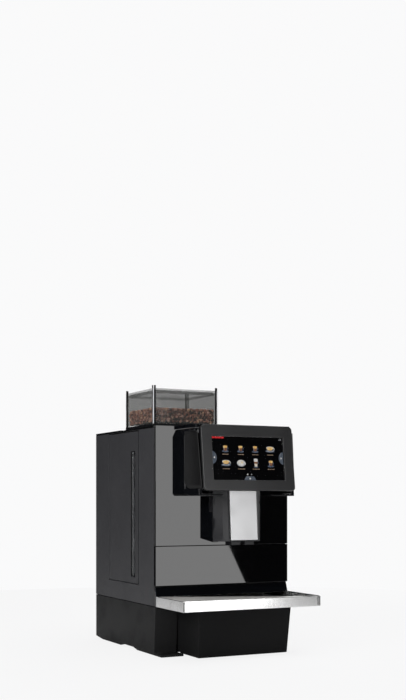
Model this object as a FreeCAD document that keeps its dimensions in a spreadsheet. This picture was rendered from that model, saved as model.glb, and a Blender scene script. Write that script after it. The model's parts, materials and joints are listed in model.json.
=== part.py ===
"""Countertop bean-to-cup coffee machine, as a parametric document of separate pieces.

Axes: X to the machine's right as its user sees it, Y from the user towards the back,
Z up. The origin is under the centre of the whole machine, on the surface it stands on.
"""
import FreeCAD, Part

import math
import os
import re

import Sketcher

doc = FreeCAD.newDocument("CoffeeMachine")
dims = doc.addObject("Spreadsheet::Sheet", "Dims")

# Driving dimensions in millimetres and degrees, and the named clearances.
SIZES = {
    # whole machine
    "width": 300,
    "body_depth": 326,
    "body_height": 453,
    "tray_reach": 126.5,
    "base_height": 97,
    # clearances
    "seat": 0.3,
    "slide_gap": 0.5,
    "seam": 0.8,
    # walls
    "skin": 3,
    "sheet": 2,
    "lining": 2.5,
    # base
    "base_lean": 7,
    "skirt_gap": 1.2,
    "arch_rise": 4,
    "arch_front": 94,
    "arch_back": 182,
    "arch_run": 20,
    "tail_run": 39,
    "tail_rise": 4,
    "floor_level": 4,
    "foot_radius": 12,
    "foot_inset": 34,
    "toe_reach": 26.7,
    "toe_height": 6,
    # front panels
    "door_thickness": 8,
    "glass_thickness": 3,
    "door_bottom": 216,
    "drawer_bottom": 137.5,
    "hinge_height": 20,
    "hinge_low": 250,
    "hinge_high": 420,
    "hinge_pin": 1.25,
    "running": 0.05,
    "hinge_barrel": 2.2,
    "hinge_reach": 2.5,
    # drip tray and waste tub
    "band_height": 20.5,
    "band_sheet": 1.2,
    "band_corner": 4,
    "grate_sheet": 3,
    "grate_ledge": 6,
    "grate_slot": 4,
    "grate_slot_pitch": 9,
    "grate_slot_count": 24,
    "tub_width": 202,
    "tub_taper": 3,
    "tub_front": 95.5,
    "tub_lean": 11,
    "tub_length": 200,
    "tub_runner": 1,
    "tub_runner_width": 10,
    "wall_run": 8,
    # grounds container
    "container_width": 200,
    "container_length": 108,
    "container_height": 72,
    "rail_width": 16,
    # head
    "head_width": 228,
    "head_bottom": 314.5,
    "head_top": 444.8,
    "head_chamfer_in": 6.7,
    "head_chamfer_drop": 14,
    "head_straight": 53,
    "head_wall": 4,
    "cap_top": 452.6,
    "cap_width": 221,
    "scoop_bottom": 328,
    "scoop_top": 439,
    "scoop_depth": 3,
    # display
    "screen_tilt": 7.02,
    "bezel_width": 200,
    "bezel_length": 126.8,
    "bezel_thickness": 6,
    "bezel_corner": 7,
    "bezel_bottom": 324.7,
    "bezel_reach": 114.5,
    "case_thickness": 8,
    "screen_width": 157,
    "screen_length": 85,
    "screen_low": 20.5,
    "screen_pane": 3,
    # spout
    "spout_width": 80,
    "spout_bottom": 226,
    "spout_top": 340,
    "spout_back": 28,
    "spout_front": 85,
    "spout_slope": 4.2,
    "spout_bevel": 8,
    "cover_width": 59,
    "cover_depth": 4,
    "cover_bottom": 228.6,
    "cover_top": 350,
    "nozzle_spacing": 30,
    "nozzle_width": 20,
    "nozzle_drop": 7,
    "column_width": 106,
    "column_wall": 12,
    "column_upper_reach": 40,
    "column_lower_reach": 55,
    "column_step": 283,
    "column_back_bottom": 230,
    "column_front_bottom": 224,
    # bean hopper
    "hopper_width": 143,
    "hopper_depth": 141.5,
    "hopper_left": 0,
    "hopper_setback": 12,
    "hopper_plate": 4,
    "hopper_height": 66,
    "hopper_lid_rise": 4.5,
    "post_rise": 10,
    "post_leg": 6,
    "post_sheet": 1.5,
    "bean_depth": 34,
    # grinder
    "grinder_x": -65,
    "grinder_y": -30,
    "throat_radius": 11.5,
    "grinder_radius": 42,
    "grinder_bottom": 322,
    "grinder_top": 430,
    "grinder_bore": 30,
    "motor_radius": 36,
    "burr_radius": 27,
    "burr_bottom": 345,
    "burr_height": 12,
    "burr_gap": 1.5,
    "shaft_radius": 5,
    "ring_collar": 40,
    # brewing unit
    "brewer_x": 60,
    "brewer_y": -30,
    "brewer_half": 38,
    "brewer_top": 398,
    "chamber_bottom": 275,
    "chamber_top": 325,
    "chamber_radius": 26,
    "piston_radius": 22.2,
    "piston_lift": 28,
    "piston_crown": 18,
    "rod_radius": 8,
    "spindle_radius": 4,
    "brew_motor_radius": 20,
    # water side
    "tank_door_front": -15,
    "face_gap": 1,
    "tank_door_back": 148,
    "tank_length": 122,
    "tank_width": 128,
    "tank_bottom": 134.5,
    "tank_top": 440,
    "grip_front": 3,
    "grip_back": 24,
    "grip_bottom": 150,
    "grip_top": 405,
    "niche_depth": 17,
    "valve_radius": 6,
    "valve_level": 160,
    "boiler_radius": 34,
    "boiler_height": 120,
    "pipe_radius": 3,
    # inner frame and top
    "deck_level": 98,
    "shelf_level": 218,
    "partition": -15,
    "cover_thickness": 4.5,
    "lid_thickness": 2.5,
    "lid_width": 90,
    "lid_length": 80,
    "pull_width": 24,
    "pull_depth": 6,
    "thumb_front": 56,
    "thumb_back": 79,
    "thumb_depth": 6,
    "powder_width": 26,
    "powder_length": 50,
    # rear and louvres
    "louvre_height": 4,
    "louvre_pitch": 10,
    "side_louvre_low": 150,
    "side_louvre_near": 30,
    "side_louvre_far": 70,
    "rear_louvre_low": 180,
    "rear_louvre_half": 60,
    "inlet_width": 28,
    "inlet_height": 22,
    "switch_width": 18,
    "screw_head": 3.5,
    "screw_shank": 1.5,
}

for row, (alias, size) in enumerate(SIZES.items(), start=1):
    dims.set(f"A{row}", alias)
    dims.set(f"B{row}", str(size))
    dims.setAlias(f"B{row}", alias)
doc.recompute()

WORDS = re.compile(r"[a-z][a-z_]*")


def bound(text):
    """An expression in which each named size refers to its cell in the sheet."""
    def cell(match):
        word = match.group()
        return f"Dims.{word}" if word in SIZES else word
    return WORDS.sub(cell, str(text))


def value(text):
    """What an expression comes to, in millimetres."""
    result = dims.evalExpression(bound(text))
    return float(getattr(result, "Value", result))


# Places that many pieces share, each written once from the driving dimensions.
HALF = "(width / 2)"
FRONT = "((tray_reach - body_depth) / 2)"
BACK = "((tray_reach + body_depth) / 2)"
TRAY = "(0 - (tray_reach + body_depth) / 2)"
INSIDE = "(width / 2 - skin)"
DOOR_BACK = f"({FRONT} + door_thickness)"
BODY_FRONT = f"({FRONT} + door_thickness + 1)"
REAR_INSIDE = f"({BACK} - skin)"
FLOOR_TOP = "(floor_level + sheet)"
TUB_TOP = "(base_height + slide_gap)"
TRAY_FLOOR = "(base_height + slide_gap + seat)"
BAND_TOP = "(base_height + slide_gap + band_height)"
DECK_TOP = "(deck_level + sheet)"
DECK_FRONT = f"({FRONT} + door_thickness + 6)"
SHELF_TOP = "(shelf_level + sheet)"
COVER_UNDER = "(body_height - cover_thickness)"
PANEL_TOP = "(door_bottom - seam)"
HINGE_X = "(width / 2 - slide_gap - hinge_reach)"
HINGE_Y = f"({FRONT} + door_thickness - hinge_reach)"
HOPPER_LEFT = "(hopper_left - width / 2)"
HOPPER_RIGHT = "(hopper_left - width / 2 + hopper_width)"
HOPPER_FRONT = f"({FRONT} + hopper_setback)"
HOPPER_BACK = f"({FRONT} + hopper_setback + hopper_depth)"
HOPPER_FLOOR = "(body_height + hopper_plate)"
HOPPER_TOP = "(body_height + hopper_plate + hopper_height)"
BAY_FRONT = "(tank_door_back - 2 - tank_length - seam - sheet)"
TANK_FRONT = "(tank_door_back - 2 - tank_length)"
TANK_BACK = "(tank_door_back - 2)"
BEZEL_FRONT = f"({FRONT} - bezel_reach)"

solids = {}


def keep(node, piece):
    """Name a finished piece after the file that it is written to."""
    piece.Label = node
    solids[node] = piece
    return piece


def minus(text):
    return f"(0 - ({text}))"


# ---- Part primitives with bound sizes and places

counter = 0


def fresh(word):
    global counter
    counter += 1
    return f"{word}_{counter}"


def box(x, y, z):
    """A block between two places along each axis."""
    solid = doc.addObject("Part::Box", fresh("Block"))
    for side, (low, high) in zip(("Length", "Width", "Height"), (x, y, z)):
        solid.setExpression(side, bound(f"({high}) - ({low})"))
    for axis, (low, _) in zip("xyz", (x, y, z)):
        solid.setExpression(f"Placement.Base.{axis}", bound(low))
    return solid


TURNS = {
    "x": FreeCAD.Rotation(FreeCAD.Vector(0, 1, 0), 90),
    "y": FreeCAD.Rotation(FreeCAD.Vector(1, 0, 0), -90),
    "z": FreeCAD.Rotation(),
}


def rod(axis, centre, low, high, radius):
    """A round bar along one axis; centre gives its place on the other two, in order."""
    solid = doc.addObject("Part::Cylinder", fresh("Rod"))
    solid.Placement = FreeCAD.Placement(FreeCAD.Vector(), TURNS[axis])
    solid.setExpression("Radius", bound(radius))
    solid.setExpression("Height", bound(f"({high}) - ({low})"))
    others = [name for name in "xyz" if name != axis]
    for name, place in zip(others, centre):
        solid.setExpression(f"Placement.Base.{name}", bound(place))
    solid.setExpression(f"Placement.Base.{axis}", bound(low))
    return solid


def joined(*parts):
    solid = doc.addObject("Part::MultiFuse", fresh("Joined"))
    solid.Shapes = list(parts)
    return solid


def group(*parts):
    """Separate solids that share one node."""
    several = doc.addObject("Part::Compound", fresh("Group"))
    several.Links = list(parts)
    return several


def less(base, *tools):
    """The base with the tools taken out of it; every tool has to remove something."""
    tool = tools[0] if len(tools) == 1 else joined(*tools)
    solid = doc.addObject("Part::Cut", fresh("Cut"))
    solid.Base = base
    solid.Tool = tool
    doc.recompute()
    if not solid.Shape.Volume < base.Shape.Volume:
        raise RuntimeError(f"{solid.Name} takes nothing away")
    return solid


def tray_of(x, y, z, wall, floor):
    """An open-topped box with equal side walls."""
    hollow = box(
        (f"{x[0]} + {wall}", f"{x[1]} - {wall}"),
        (f"{y[0]} + {wall}", f"{y[1]} - {wall}"),
        (f"{z[0]} + {floor}", f"{z[1]} + 1"),
    )
    return less(box(x, y, z), hollow)


# ---- PartDesign bodies

PLANES = {"XY": "XY_Plane", "XZ": "XZ_Plane", "YZ": "YZ_Plane"}


def rect(low_a, high_a, low_b, high_b):
    return [(low_a, low_b), (high_a, low_b), (high_a, high_b), (low_a, high_b)]


def disc(a, b, radius):
    return ("disc", a, b, radius)


def fix_point(sketch, geometry, position, a, b):
    """Tie a point of a sketch to two places measured from the sketch's origin."""
    for kind, place in (("DistanceX", a), ("DistanceY", b)):
        rule = Sketcher.Constraint(kind, -1, 1, geometry, position, value(place))
        index = sketch.addConstraint(rule)
        sketch.setExpression(f"Constraints[{index}]", bound(place))


def sketch_on(body, plane, loops, offset):
    """A sketch on one of the body's own planes, moved along the plane's normal."""
    sketch = body.newObject("Sketcher::SketchObject", fresh("Sketch"))
    support = [f for f in body.Origin.OriginFeatures if f.Role == PLANES[plane]][0]
    sketch.AttachmentSupport = [(support, "")]
    sketch.MapMode = "FlatFace"
    sketch.setExpression("AttachmentOffset.Base.z", bound(offset))
    for loop in loops:
        if loop[0] == "disc":
            _, a, b, radius = loop
            centre = FreeCAD.Vector(value(a), value(b), 0)
            circle = Part.Circle(centre, FreeCAD.Vector(0, 0, 1), value(radius))
            index = sketch.addGeometry(circle, False)
            fix_point(sketch, index, 3, a, b)
            rule = sketch.addConstraint(Sketcher.Constraint("Radius", index, value(radius)))
            sketch.setExpression(f"Constraints[{rule}]", bound(radius))
            continue
        corners = [FreeCAD.Vector(value(a), value(b), 0) for a, b in loop]
        first = sketch.GeometryCount
        for start, end in zip(corners, corners[1:] + corners[:1]):
            sketch.addGeometry(Part.LineSegment(start, end), False)
        for index in range(len(loop)):
            after = first + (index + 1) % len(loop)
            sketch.addConstraint(Sketcher.Constraint("Coincident", first + index, 2, after, 1))
        for index, (a, b) in enumerate(loop):
            fix_point(sketch, first + index, 1, a, b)
    return sketch


def new_body():
    return doc.addObject("PartDesign::Body", fresh("Body"))


def pad(body, plane, loops, low, high, taper=None):
    """Add material between two places along the plane's axis."""
    start = minus(high) if plane == "XZ" else low
    feature = body.newObject("PartDesign::Pad", fresh("Pad"))
    feature.Profile = sketch_on(body, plane, loops, start)
    feature.setExpression("Length", bound(f"({high}) - ({low})"))
    if taper:
        feature.setExpression("TaperAngle", bound(taper))
    body.Tip = feature
    doc.recompute()
    return body


def pocket(body, plane, loops, low, high):
    """Take material away between two places along the plane's axis."""
    before = body.Shape.Volume
    start = minus(low) if plane == "XZ" else high
    feature = body.newObject("PartDesign::Pocket", fresh("Pocket"))
    feature.Profile = sketch_on(body, plane, loops, start)
    feature.setExpression("Length", bound(f"({high}) - ({low})"))
    body.Tip = feature
    doc.recompute()
    if not body.Shape.Volume < before:
        raise RuntimeError(f"{feature.Name} takes nothing away")
    return body


def pick_edges(shape, test):
    return [f"Edge{i}" for i, edge in enumerate(shape.Edges, start=1) if test(edge)]


def dress(body, kind, size, test):
    """Round or bevel the edges of the body's last feature that pass the test."""
    names = pick_edges(body.Tip.Shape, test)
    if not names:
        raise RuntimeError(f"no edge to dress on {body.Name}")
    base = body.Tip
    feature = body.newObject(kind, fresh("Dress"))
    feature.Base = (base, names)
    feature.setExpression("Radius" if kind.endswith("Fillet") else "Size", bound(size))
    body.Tip = feature
    doc.recompute()
    return body


def fillet(body, size, test):
    return dress(body, "PartDesign::Fillet", size, test)


def chamfer(body, size, test):
    return dress(body, "PartDesign::Chamfer", size, test)


def along(edge, axis):
    """Whether an edge is straight and runs along an axis."""
    if edge.Curve.TypeId != "Part::GeomLine":
        return False
    return abs(abs(edge.Curve.Direction.dot(axis)) - 1) < 1e-6


X_AXIS = FreeCAD.Vector(1, 0, 0)
Y_AXIS = FreeCAD.Vector(0, 1, 0)
Z_AXIS = FreeCAD.Vector(0, 0, 1)


def middle(edge):
    return edge.BoundBox.Center


def near(a, b):
    return abs(a - b) < 0.05


# ---- base

def make_base():
    """Plinth: arched side skirts, a floor with two runners, a toe to the left of the tub's opening."""
    side = [
        (f"{FRONT} + base_lean", "skirt_gap"),
        (f"{FRONT} + arch_front", "skirt_gap"),
        (f"{FRONT} + arch_front + arch_run", "skirt_gap + arch_rise"),
        (f"{FRONT} + arch_back - arch_run", "skirt_gap + arch_rise"),
        (f"{FRONT} + arch_back", "skirt_gap"),
        (f"{BACK} - tail_run", "skirt_gap"),
        (BACK, "skirt_gap + tail_rise"),
        (BACK, "base_height"),
        (FRONT, "base_height"),
    ]
    base = pad(new_body(), "YZ", [side], minus(HALF), HALF)
    inside = rect(minus(INSIDE), INSIDE, f"{FRONT} + base_lean + skin", REAR_INSIDE)
    pocket(base, "XY", [inside], FLOOR_TOP, "base_height")
    pocket(base, "XY", [inside], 0, "floor_level")
    strips = []
    for side in (-1, 1):
        strips.append(rect(f"{side} * tub_width / 3 - tub_runner_width / 2",
                           f"{side} * tub_width / 3 + tub_runner_width / 2",
                           f"{FRONT} + base_lean + skin + 2",
                           f"{FRONT} - tub_front + tub_length"))
    pad(base, "XY", strips, FLOOR_TOP, f"{FLOOR_TOP} + tub_runner")
    mouth = rect(
        "0 - tub_width / 2 - slide_gap", "tub_width / 2 + slide_gap", 0, "base_height + 1"
    )
    pocket(base, "XZ", [mouth], f"{FRONT} - 1", f"{FRONT} + base_lean + skin + 1")
    toe = rect(minus(HALF), "0 - tub_width / 2 - slide_gap",
               f"{FRONT} - toe_reach", f"{FRONT} + base_lean + skin")
    pad(base, "XY", [toe], "skirt_gap", "toe_height")
    socket = rect(
        f"{SOCKET_X} - inlet_width / 2", f"{SOCKET_X} + inlet_width / 2",
        SOCKET_Z, f"{SOCKET_Z} + inlet_height",
    )
    switch = rect(SWITCH_LEFT, f"{SWITCH_LEFT} + switch_width", SOCKET_Z,
                  f"{SOCKET_Z} + inlet_height")
    pocket(base, "XZ", [socket, switch], f"{REAR_INSIDE} - 1", f"{BACK} + 1")
    keep("base_shell", base)


SOCKET_X = "(width / 2 - 52)"
SOCKET_Z = "(base_height - 57)"
SWITCH_LEFT = "(width / 2 - 90)"


def make_feet():
    """Four rubber feet under the plinth's floor."""
    feet = []
    for side in (-1, 1):
        for end in (f"{FRONT} + foot_inset", f"{BACK} - foot_inset"):
            centre = (f"{side} * (width / 2 - foot_inset)", end)
            feet.append(rod("z", centre, 0, "floor_level", "foot_radius"))
    keep("rubber_feet", group(*feet))


# ---- body panels

def make_inner_frame():
    """Sheet-metal frame: deck, shelf, the water tank's bay and the grip's niche."""
    deck = box((minus(INSIDE), INSIDE), (DECK_FRONT, REAR_INSIDE), ("deck_level", DECK_TOP))
    top = f"{COVER_UNDER} - seat"
    shelf = box((minus(INSIDE), INSIDE), (DECK_FRONT, BAY_FRONT), ("shelf_level", SHELF_TOP))
    puck_hole = rod("z", ("brewer_x", "brewer_y"), "shelf_level - 1", f"{SHELF_TOP} + 1",
                    "chamber_radius")
    partition = box(("partition", "partition + sheet"), (BAY_FRONT, REAR_INSIDE),
                    ("deck_level", top))
    valve_hole = rod("x", (VALVE_Y, "valve_level"), "partition - 1",
                     "partition + sheet + 1", "valve_radius + 1")
    bay_front = box((minus(INSIDE), "partition"), (BAY_FRONT, f"{BAY_FRONT} + sheet"),
                    ("deck_level", top))
    bay_back = box((minus(INSIDE), "partition"), ("tank_door_back + 2", "tank_door_back + 4"),
                   ("deck_level", top))
    platform = box((minus(INSIDE), "partition"), (BAY_FRONT, "tank_door_back + 2"),
                   ("tank_bottom - seat - sheet", "tank_bottom - seat"))
    niche_x = (f"{minus(INSIDE)} + niche_depth", f"{minus(INSIDE)} + niche_depth + sheet")
    niche = box(niche_x, ("tank_door_front", BAY_FRONT), (SHELF_TOP, top))
    low_niche = box(niche_x, ("tank_door_front", BAY_FRONT), (DECK_TOP, SHELF_TOP))
    niche_side = box((minus(INSIDE), f"{minus(INSIDE)} + niche_depth + sheet"),
                     ("tank_door_front - sheet", "tank_door_front"), (DECK_TOP, top))
    keep("inner_frame", less(
        joined(deck, less(shelf, puck_hole), less(partition, valve_hole),
               bay_front, bay_back, platform, niche, low_niche, niche_side),
        box((minus(INSIDE), f"{minus(INSIDE)} + niche_depth"),
            ("tank_door_front", BAY_FRONT), ("grip_bottom - 10", "grip_top + 10")),
    ))


VALVE_Y = f"({TANK_BACK} - tank_length / 2)"


def make_side_panels():
    """Left panel with the tank's doorway, and right panel with a block of louvres."""
    low = "base_height + seam"
    left = new_body()
    pad(left, "YZ", [rect(BODY_FRONT, BACK, low, COVER_UNDER)], minus(HALF), minus(INSIDE))
    doorway = rect("tank_door_front", "tank_door_back", "tank_bottom", f"{COVER_UNDER} + 1")
    pocket(left, "YZ", [doorway], f"{minus(HALF)} - 1", f"{minus(INSIDE)} + 1")
    keep("left_panel", left)

    right = new_body()
    pad(right, "YZ", [rect(BODY_FRONT, BACK, low, COVER_UNDER)], INSIDE, HALF)
    louvre = rect(f"{BACK} - side_louvre_far", f"{BACK} - side_louvre_near", "side_louvre_low",
                  "side_louvre_low + louvre_height")
    pocket(right, "YZ", [louvre], f"{INSIDE} - 1", f"{HALF} + 1")
    repeat_up(right, SIDE_LOUVRES)
    keep("right_panel", right)


REAR_LOUVRES = 14
SIDE_LOUVRES = 9


def repeat_up(body, count):
    """Repeat the body's last feature upwards at the louvres' pitch."""
    last = body.Tip
    before = body.Shape.Volume
    pattern = body.newObject("PartDesign::LinearPattern", fresh("Row"))
    pattern.Originals = [last]
    pattern.Direction = (last.Profile[0], ["V_Axis"])
    pattern.setExpression("Length", bound(f"louvre_pitch * {count - 1}"))
    pattern.Occurrences = count
    body.Tip = pattern
    doc.recompute()
    if not body.Shape.Volume < before:
        raise RuntimeError(f"{pattern.Name} repeats nothing")
    return pattern


def screw_places():
    """Where the back panel's screws go, as pairs of expressions for X and Z."""
    return [
        (f"{side} * (width / 2 - skin - 8)", level)
        for side in (-1, 1)
        for level in ("base_height + 12", "(base_height + body_height) / 2", "body_height - 14")
    ]


def make_rear_panel():
    """Back panel between the side panels, with louvres and screw holes."""
    rear = new_body()
    outline = rect(minus(f"{INSIDE} - seat"), f"{INSIDE} - seat", "base_height + seam",
                   COVER_UNDER)
    pad(rear, "XZ", [outline], REAR_INSIDE, BACK)
    shanks = [disc(x, z, "screw_shank") for x, z in screw_places()]
    pocket(rear, "XZ", shanks, f"{REAR_INSIDE} - 1", f"{BACK} + 1")
    heads = [disc(x, z, "screw_head + seat") for x, z in screw_places()]
    pocket(rear, "XZ", heads, f"{BACK} - skin / 2", f"{BACK} + 1")
    louvre = rect("0 - rear_louvre_half", "rear_louvre_half", "rear_louvre_low",
                  "rear_louvre_low + louvre_height")
    pocket(rear, "XZ", [louvre], f"{REAR_INSIDE} - 1", f"{BACK} + 1")
    repeat_up(rear, REAR_LOUVRES)
    keep("rear_panel", rear)

    screws = []
    for x, z in screw_places():
        head = rod("y", (x, z), f"{BACK} - skin / 2", BACK, "screw_head")
        shank = rod("y", (x, z), f"{BACK} - skin - 6", f"{BACK} - skin / 2", "screw_shank")
        screws.append(joined(head, shank))
    keep("rear_screws", group(*screws))


def make_top_cover():
    """Top cover with the bean throat, the powder hole with its lid seat, and a thumb notch."""
    cover = new_body()
    pad(cover, "XY", [rect(minus(HALF), HALF, BODY_FRONT, BACK)], COVER_UNDER, "body_height")
    throat = disc("grinder_x", "grinder_y", "throat_radius + seat")
    hole = rect(POWDER_LEFT, f"{POWDER_LEFT} + powder_width",
                POWDER_FRONT, f"{POWDER_FRONT} + powder_length")
    thumb = rect(f"{minus(HALF)} - 1", f"{minus(HALF)} + thumb_depth", "thumb_front", "thumb_back")
    pocket(cover, "XY", [throat, hole, thumb], f"{COVER_UNDER} - 1", "body_height + 1")
    seat_of_lid = rect(f"{LID_LEFT} - slide_gap", f"{LID_LEFT} + lid_width + slide_gap",
                       f"{LID_BACK} - lid_length - slide_gap", f"{LID_BACK} + slide_gap")
    pocket(cover, "XY", [seat_of_lid], "body_height - lid_thickness - seat", "body_height + 1")
    keep("top_cover", cover)

    lid_front = f"{LID_BACK} - lid_length"
    plate = box((LID_LEFT, f"{LID_LEFT} + lid_width"), (lid_front, LID_AXIS_Y),
                ("body_height - lid_thickness", "body_height"))
    rolled_edge = rod("x", (LID_AXIS_Y, "body_height - lid_thickness / 2"),
                      LID_LEFT, f"{LID_LEFT} + lid_width", "lid_thickness / 2")
    middle_x = f"{LID_LEFT} + lid_width / 2"
    pull = box((f"{middle_x} - pull_width / 2", f"{middle_x} + pull_width / 2"),
               (f"{lid_front} - 1", f"{lid_front} + pull_depth"),
               ("body_height - lid_thickness - 1", "body_height + 1"))
    keep("powder_lid", less(joined(plate, rolled_edge), pull))

    chute_x = (f"{POWDER_LEFT} - sheet", f"{POWDER_LEFT} + powder_width + sheet")
    chute_y = (f"{POWDER_FRONT} - sheet", f"{POWDER_FRONT} + powder_length + sheet")
    chute = less(
        box(chute_x, chute_y, ("brewer_top + 6", COVER_UNDER)),
        box((POWDER_LEFT, f"{POWDER_LEFT} + powder_width"),
            (POWDER_FRONT, f"{POWDER_FRONT} + powder_length"),
            ("brewer_top", "body_height")),
    )
    keep("powder_chute", chute)


LID_LEFT = "(width / 2 - 112)"
LID_BACK = f"({FRONT} + 130)"
LID_AXIS_Y = f"({LID_BACK} - lid_thickness / 2)"
POWDER_LEFT = "(width / 2 - 50)"
POWDER_FRONT = f"({FRONT} + 62)"


# ---- front door with the head and the spout

def make_door():
    """Gloss pane and its carrier, which turns on two hinge pins at the right."""
    x = (minus(HALF), "width / 2 - slide_gap")
    pane = new_body()
    pad(pane, "XZ", [rect(*x, "door_bottom", "body_height")], FRONT,
        f"{FRONT} + glass_thickness")
    keep("door_pane", pane)

    carrier = new_body()
    low = "door_bottom + 0.5"
    pad(carrier, "XZ", [rect(f"{x[0]} + 0.5", x[1], low, "body_height - 0.5")],
        f"{FRONT} + glass_thickness", DOOR_BACK)
    notches = []
    for level in ("hinge_low", "hinge_high"):
        notches.append(rect(f"{HINGE_X} - 2 * hinge_reach", f"{HALF} + 1",
                            f"{level} - hinge_height / 2 - slide_gap",
                            f"{level} + hinge_height / 2 + slide_gap"))
    pocket(carrier, "XZ", notches, f"{FRONT} + glass_thickness", f"{DOOR_BACK} + 1")
    bore = disc(HINGE_X, HINGE_Y, "hinge_pin + running")
    for level in ("hinge_low", "hinge_high"):
        pocket(carrier, "XY", [bore], f"{level} - hinge_height / 2 - 8 - seat",
               f"{level} + hinge_height / 2 + 8 + seat")
    rear_corner = value(DOOR_BACK)
    right_edge = value(x[1])
    fillet(carrier, "hinge_reach - 0.1", lambda e: along(e, Z_AXIS)
           and near(middle(e).x, right_edge) and near(middle(e).y, rear_corner))
    keep("door_carrier", carrier)

    brackets = []
    for level in ("hinge_low", "hinge_high"):
        low, high = f"{level} - hinge_height / 2", f"{level} + hinge_height / 2"
        centre = (HINGE_X, HINGE_Y)
        barrel = rod("z", centre, low, high, "hinge_barrel")
        pin = rod("z", centre, f"{low} - 8", f"{high} + 8", "hinge_pin")
        leaf = box((f"{INSIDE} - 1.5", INSIDE), (HINGE_Y, f"{BODY_FRONT} + 22"), (low, high))
        brackets.append(joined(barrel, pin, leaf))
    keep("hinge_brackets", group(*brackets))


def display_back(level):
    """How far forward the back of the display case is at a height."""
    drop = f"(({level}) - bezel_bottom)"
    thick = "((bezel_thickness + case_thickness) / cos(screen_tilt))"
    return f"({BEZEL_FRONT} + {thick} + {drop} * tan(screen_tilt))"


def head_outline(inset, back):
    """Half-hexagon plan of the head, moved inwards, from the door to the display."""
    wide = f"(head_width / 2 - {inset})"
    narrow = f"(bezel_width / 2 - {inset} + 1)"
    bend = f"({FRONT} - head_straight)"
    front = f"({BEZEL_FRONT} - 5)"
    return [
        (minus(wide), back), (minus(wide), bend), (minus(narrow), front),
        (narrow, front), (wide, bend), (wide, back),
    ]


def scoop_side(side, place, depth):
    """Where a scooped side lies at a place along the head, sunk by a depth."""
    start = f"({FRONT} - head_straight - 2)"
    slope = "((head_width - bezel_width) / 2 - 1) / (bezel_reach + 4 - head_straight)"
    return f"{side} * (head_width / 2 - ({start} - {place}) * {slope} - {depth})"


def make_head():
    """Housing behind the display, its cap, and the matte panels in its scooped sides."""
    wide = "head_width / 2"
    profile = [
        (f"0 - {wide} + 4", "head_bottom"), (f"0 - {wide}", "head_bottom + 4"),
        (f"0 - {wide}", "head_top - head_chamfer_drop"),
        (f"0 - {wide} + head_chamfer_in", "head_top"),
        (f"{wide} - head_chamfer_in", "head_top"),
        (wide, "head_top - head_chamfer_drop"),
        (wide, "head_bottom + 4"), (f"{wide} - 4", "head_bottom"),
    ]
    front = f"({BEZEL_FRONT} - 5)"
    bend = f"({FRONT} - head_straight)"
    housing = pad(new_body(), "XZ", [profile], front, FRONT)
    taper = []
    for side in (-1, 1):
        taper.append([
            (f"{side} * head_width / 2", bend),
            (f"{side} * (head_width / 2 + 5)", bend),
            (f"{side} * (head_width / 2 + 5)", f"{front} - 1"),
            (f"{side} * (bezel_width / 2 + 1)", f"{front} - 1"),
        ])
    pocket(housing, "XY", taper, "head_bottom - 1", "head_top + 1")
    over = [
        (f"{front} - 5", "head_bottom - 10"), (display_back("head_bottom - 10"), "head_bottom - 10"),
        (display_back("head_top + 10"), "head_top + 10"), (f"{front} - 5", "head_top + 10"),
    ]
    pocket(housing, "YZ", [over], f"0 - {wide} - 1", f"{wide} + 1")
    scoops = []
    for side in (-1, 1):
        scoops.append([
            (f"{side} * (head_width / 2 - scoop_depth)", f"{bend} - 2"),
            (f"{side} * (head_width / 2 + 5)", f"{bend} - 2"),
            (f"{side} * (head_width / 2 + 5)", f"{front} - 1"),
            (f"{side} * (bezel_width / 2 + 1 - scoop_depth)", f"{front} - 1"),
        ])
    pocket(housing, "XY", scoops, "scoop_bottom", "scoop_top")
    hollow = head_outline("(scoop_depth + head_wall)", f"{FRONT} + 1")
    pocket(housing, "XY", [hollow], "head_bottom + head_wall", "head_top - head_wall")
    slot = rect("0 - column_width / 2 - seat", "column_width / 2 + seat",
                f"{front} - 1", f"{FRONT} + 1")
    pocket(housing, "XY", [slot], "head_bottom - 1", "head_bottom + head_wall + 1")
    keep("head_housing", housing)

    cap = new_body()
    narrow = "cap_width / 2"
    cap_front = f"({BEZEL_FRONT} + 17.5)"
    plan = [
        (f"0 - {narrow}", FRONT), (f"0 - {narrow}", bend),
        ("0 - bezel_width / 2 - 1", cap_front), ("bezel_width / 2 + 1", cap_front),
        (narrow, bend), (narrow, FRONT),
    ]
    pad(cap, "XY", [plan], "head_top + 0.6", "cap_top")
    back = [(f"{cap_front} - 5", "head_top"), (display_back("head_top"), "head_top"),
            (display_back("cap_top + 1"), "cap_top + 1"), (f"{cap_front} - 5", "cap_top + 1")]
    pocket(cap, "YZ", [back], f"0 - {narrow} - 1", f"{narrow} + 1")
    pad(cap, "XY", [rect(-60, 60, f"{FRONT} - 40", FRONT)], "head_top", "head_top + 1")
    keep("head_cap", cap)

    panels = []
    for side in (-1, 1):
        panel = new_body()
        thin = "scoop_depth / 2"
        start, stop = f"({bend} - 2 - seat)", f"({display_back('scoop_bottom')} - 1)"
        outline = [
            (scoop_side(side, start, "scoop_depth"), start), (scoop_side(side, start, thin), start),
            (scoop_side(side, stop, thin), stop), (scoop_side(side, stop, "scoop_depth"), stop),
        ]
        pad(panel, "XY", [outline], "scoop_bottom + seat", "scoop_top - seat")
        cut = [
            (f"{stop} - 60", "scoop_bottom - 20"),
            (display_back("scoop_bottom - 20"), "scoop_bottom - 20"),
            (display_back("scoop_top + 20"), "scoop_top + 20"), (f"{stop} - 60", "scoop_top + 20"),
        ]
        pocket(panel, "YZ", [cut], "0 - head_width", "head_width")
        panels.append(panel)
    keep("scoop_panels", group(*panels))


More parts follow.
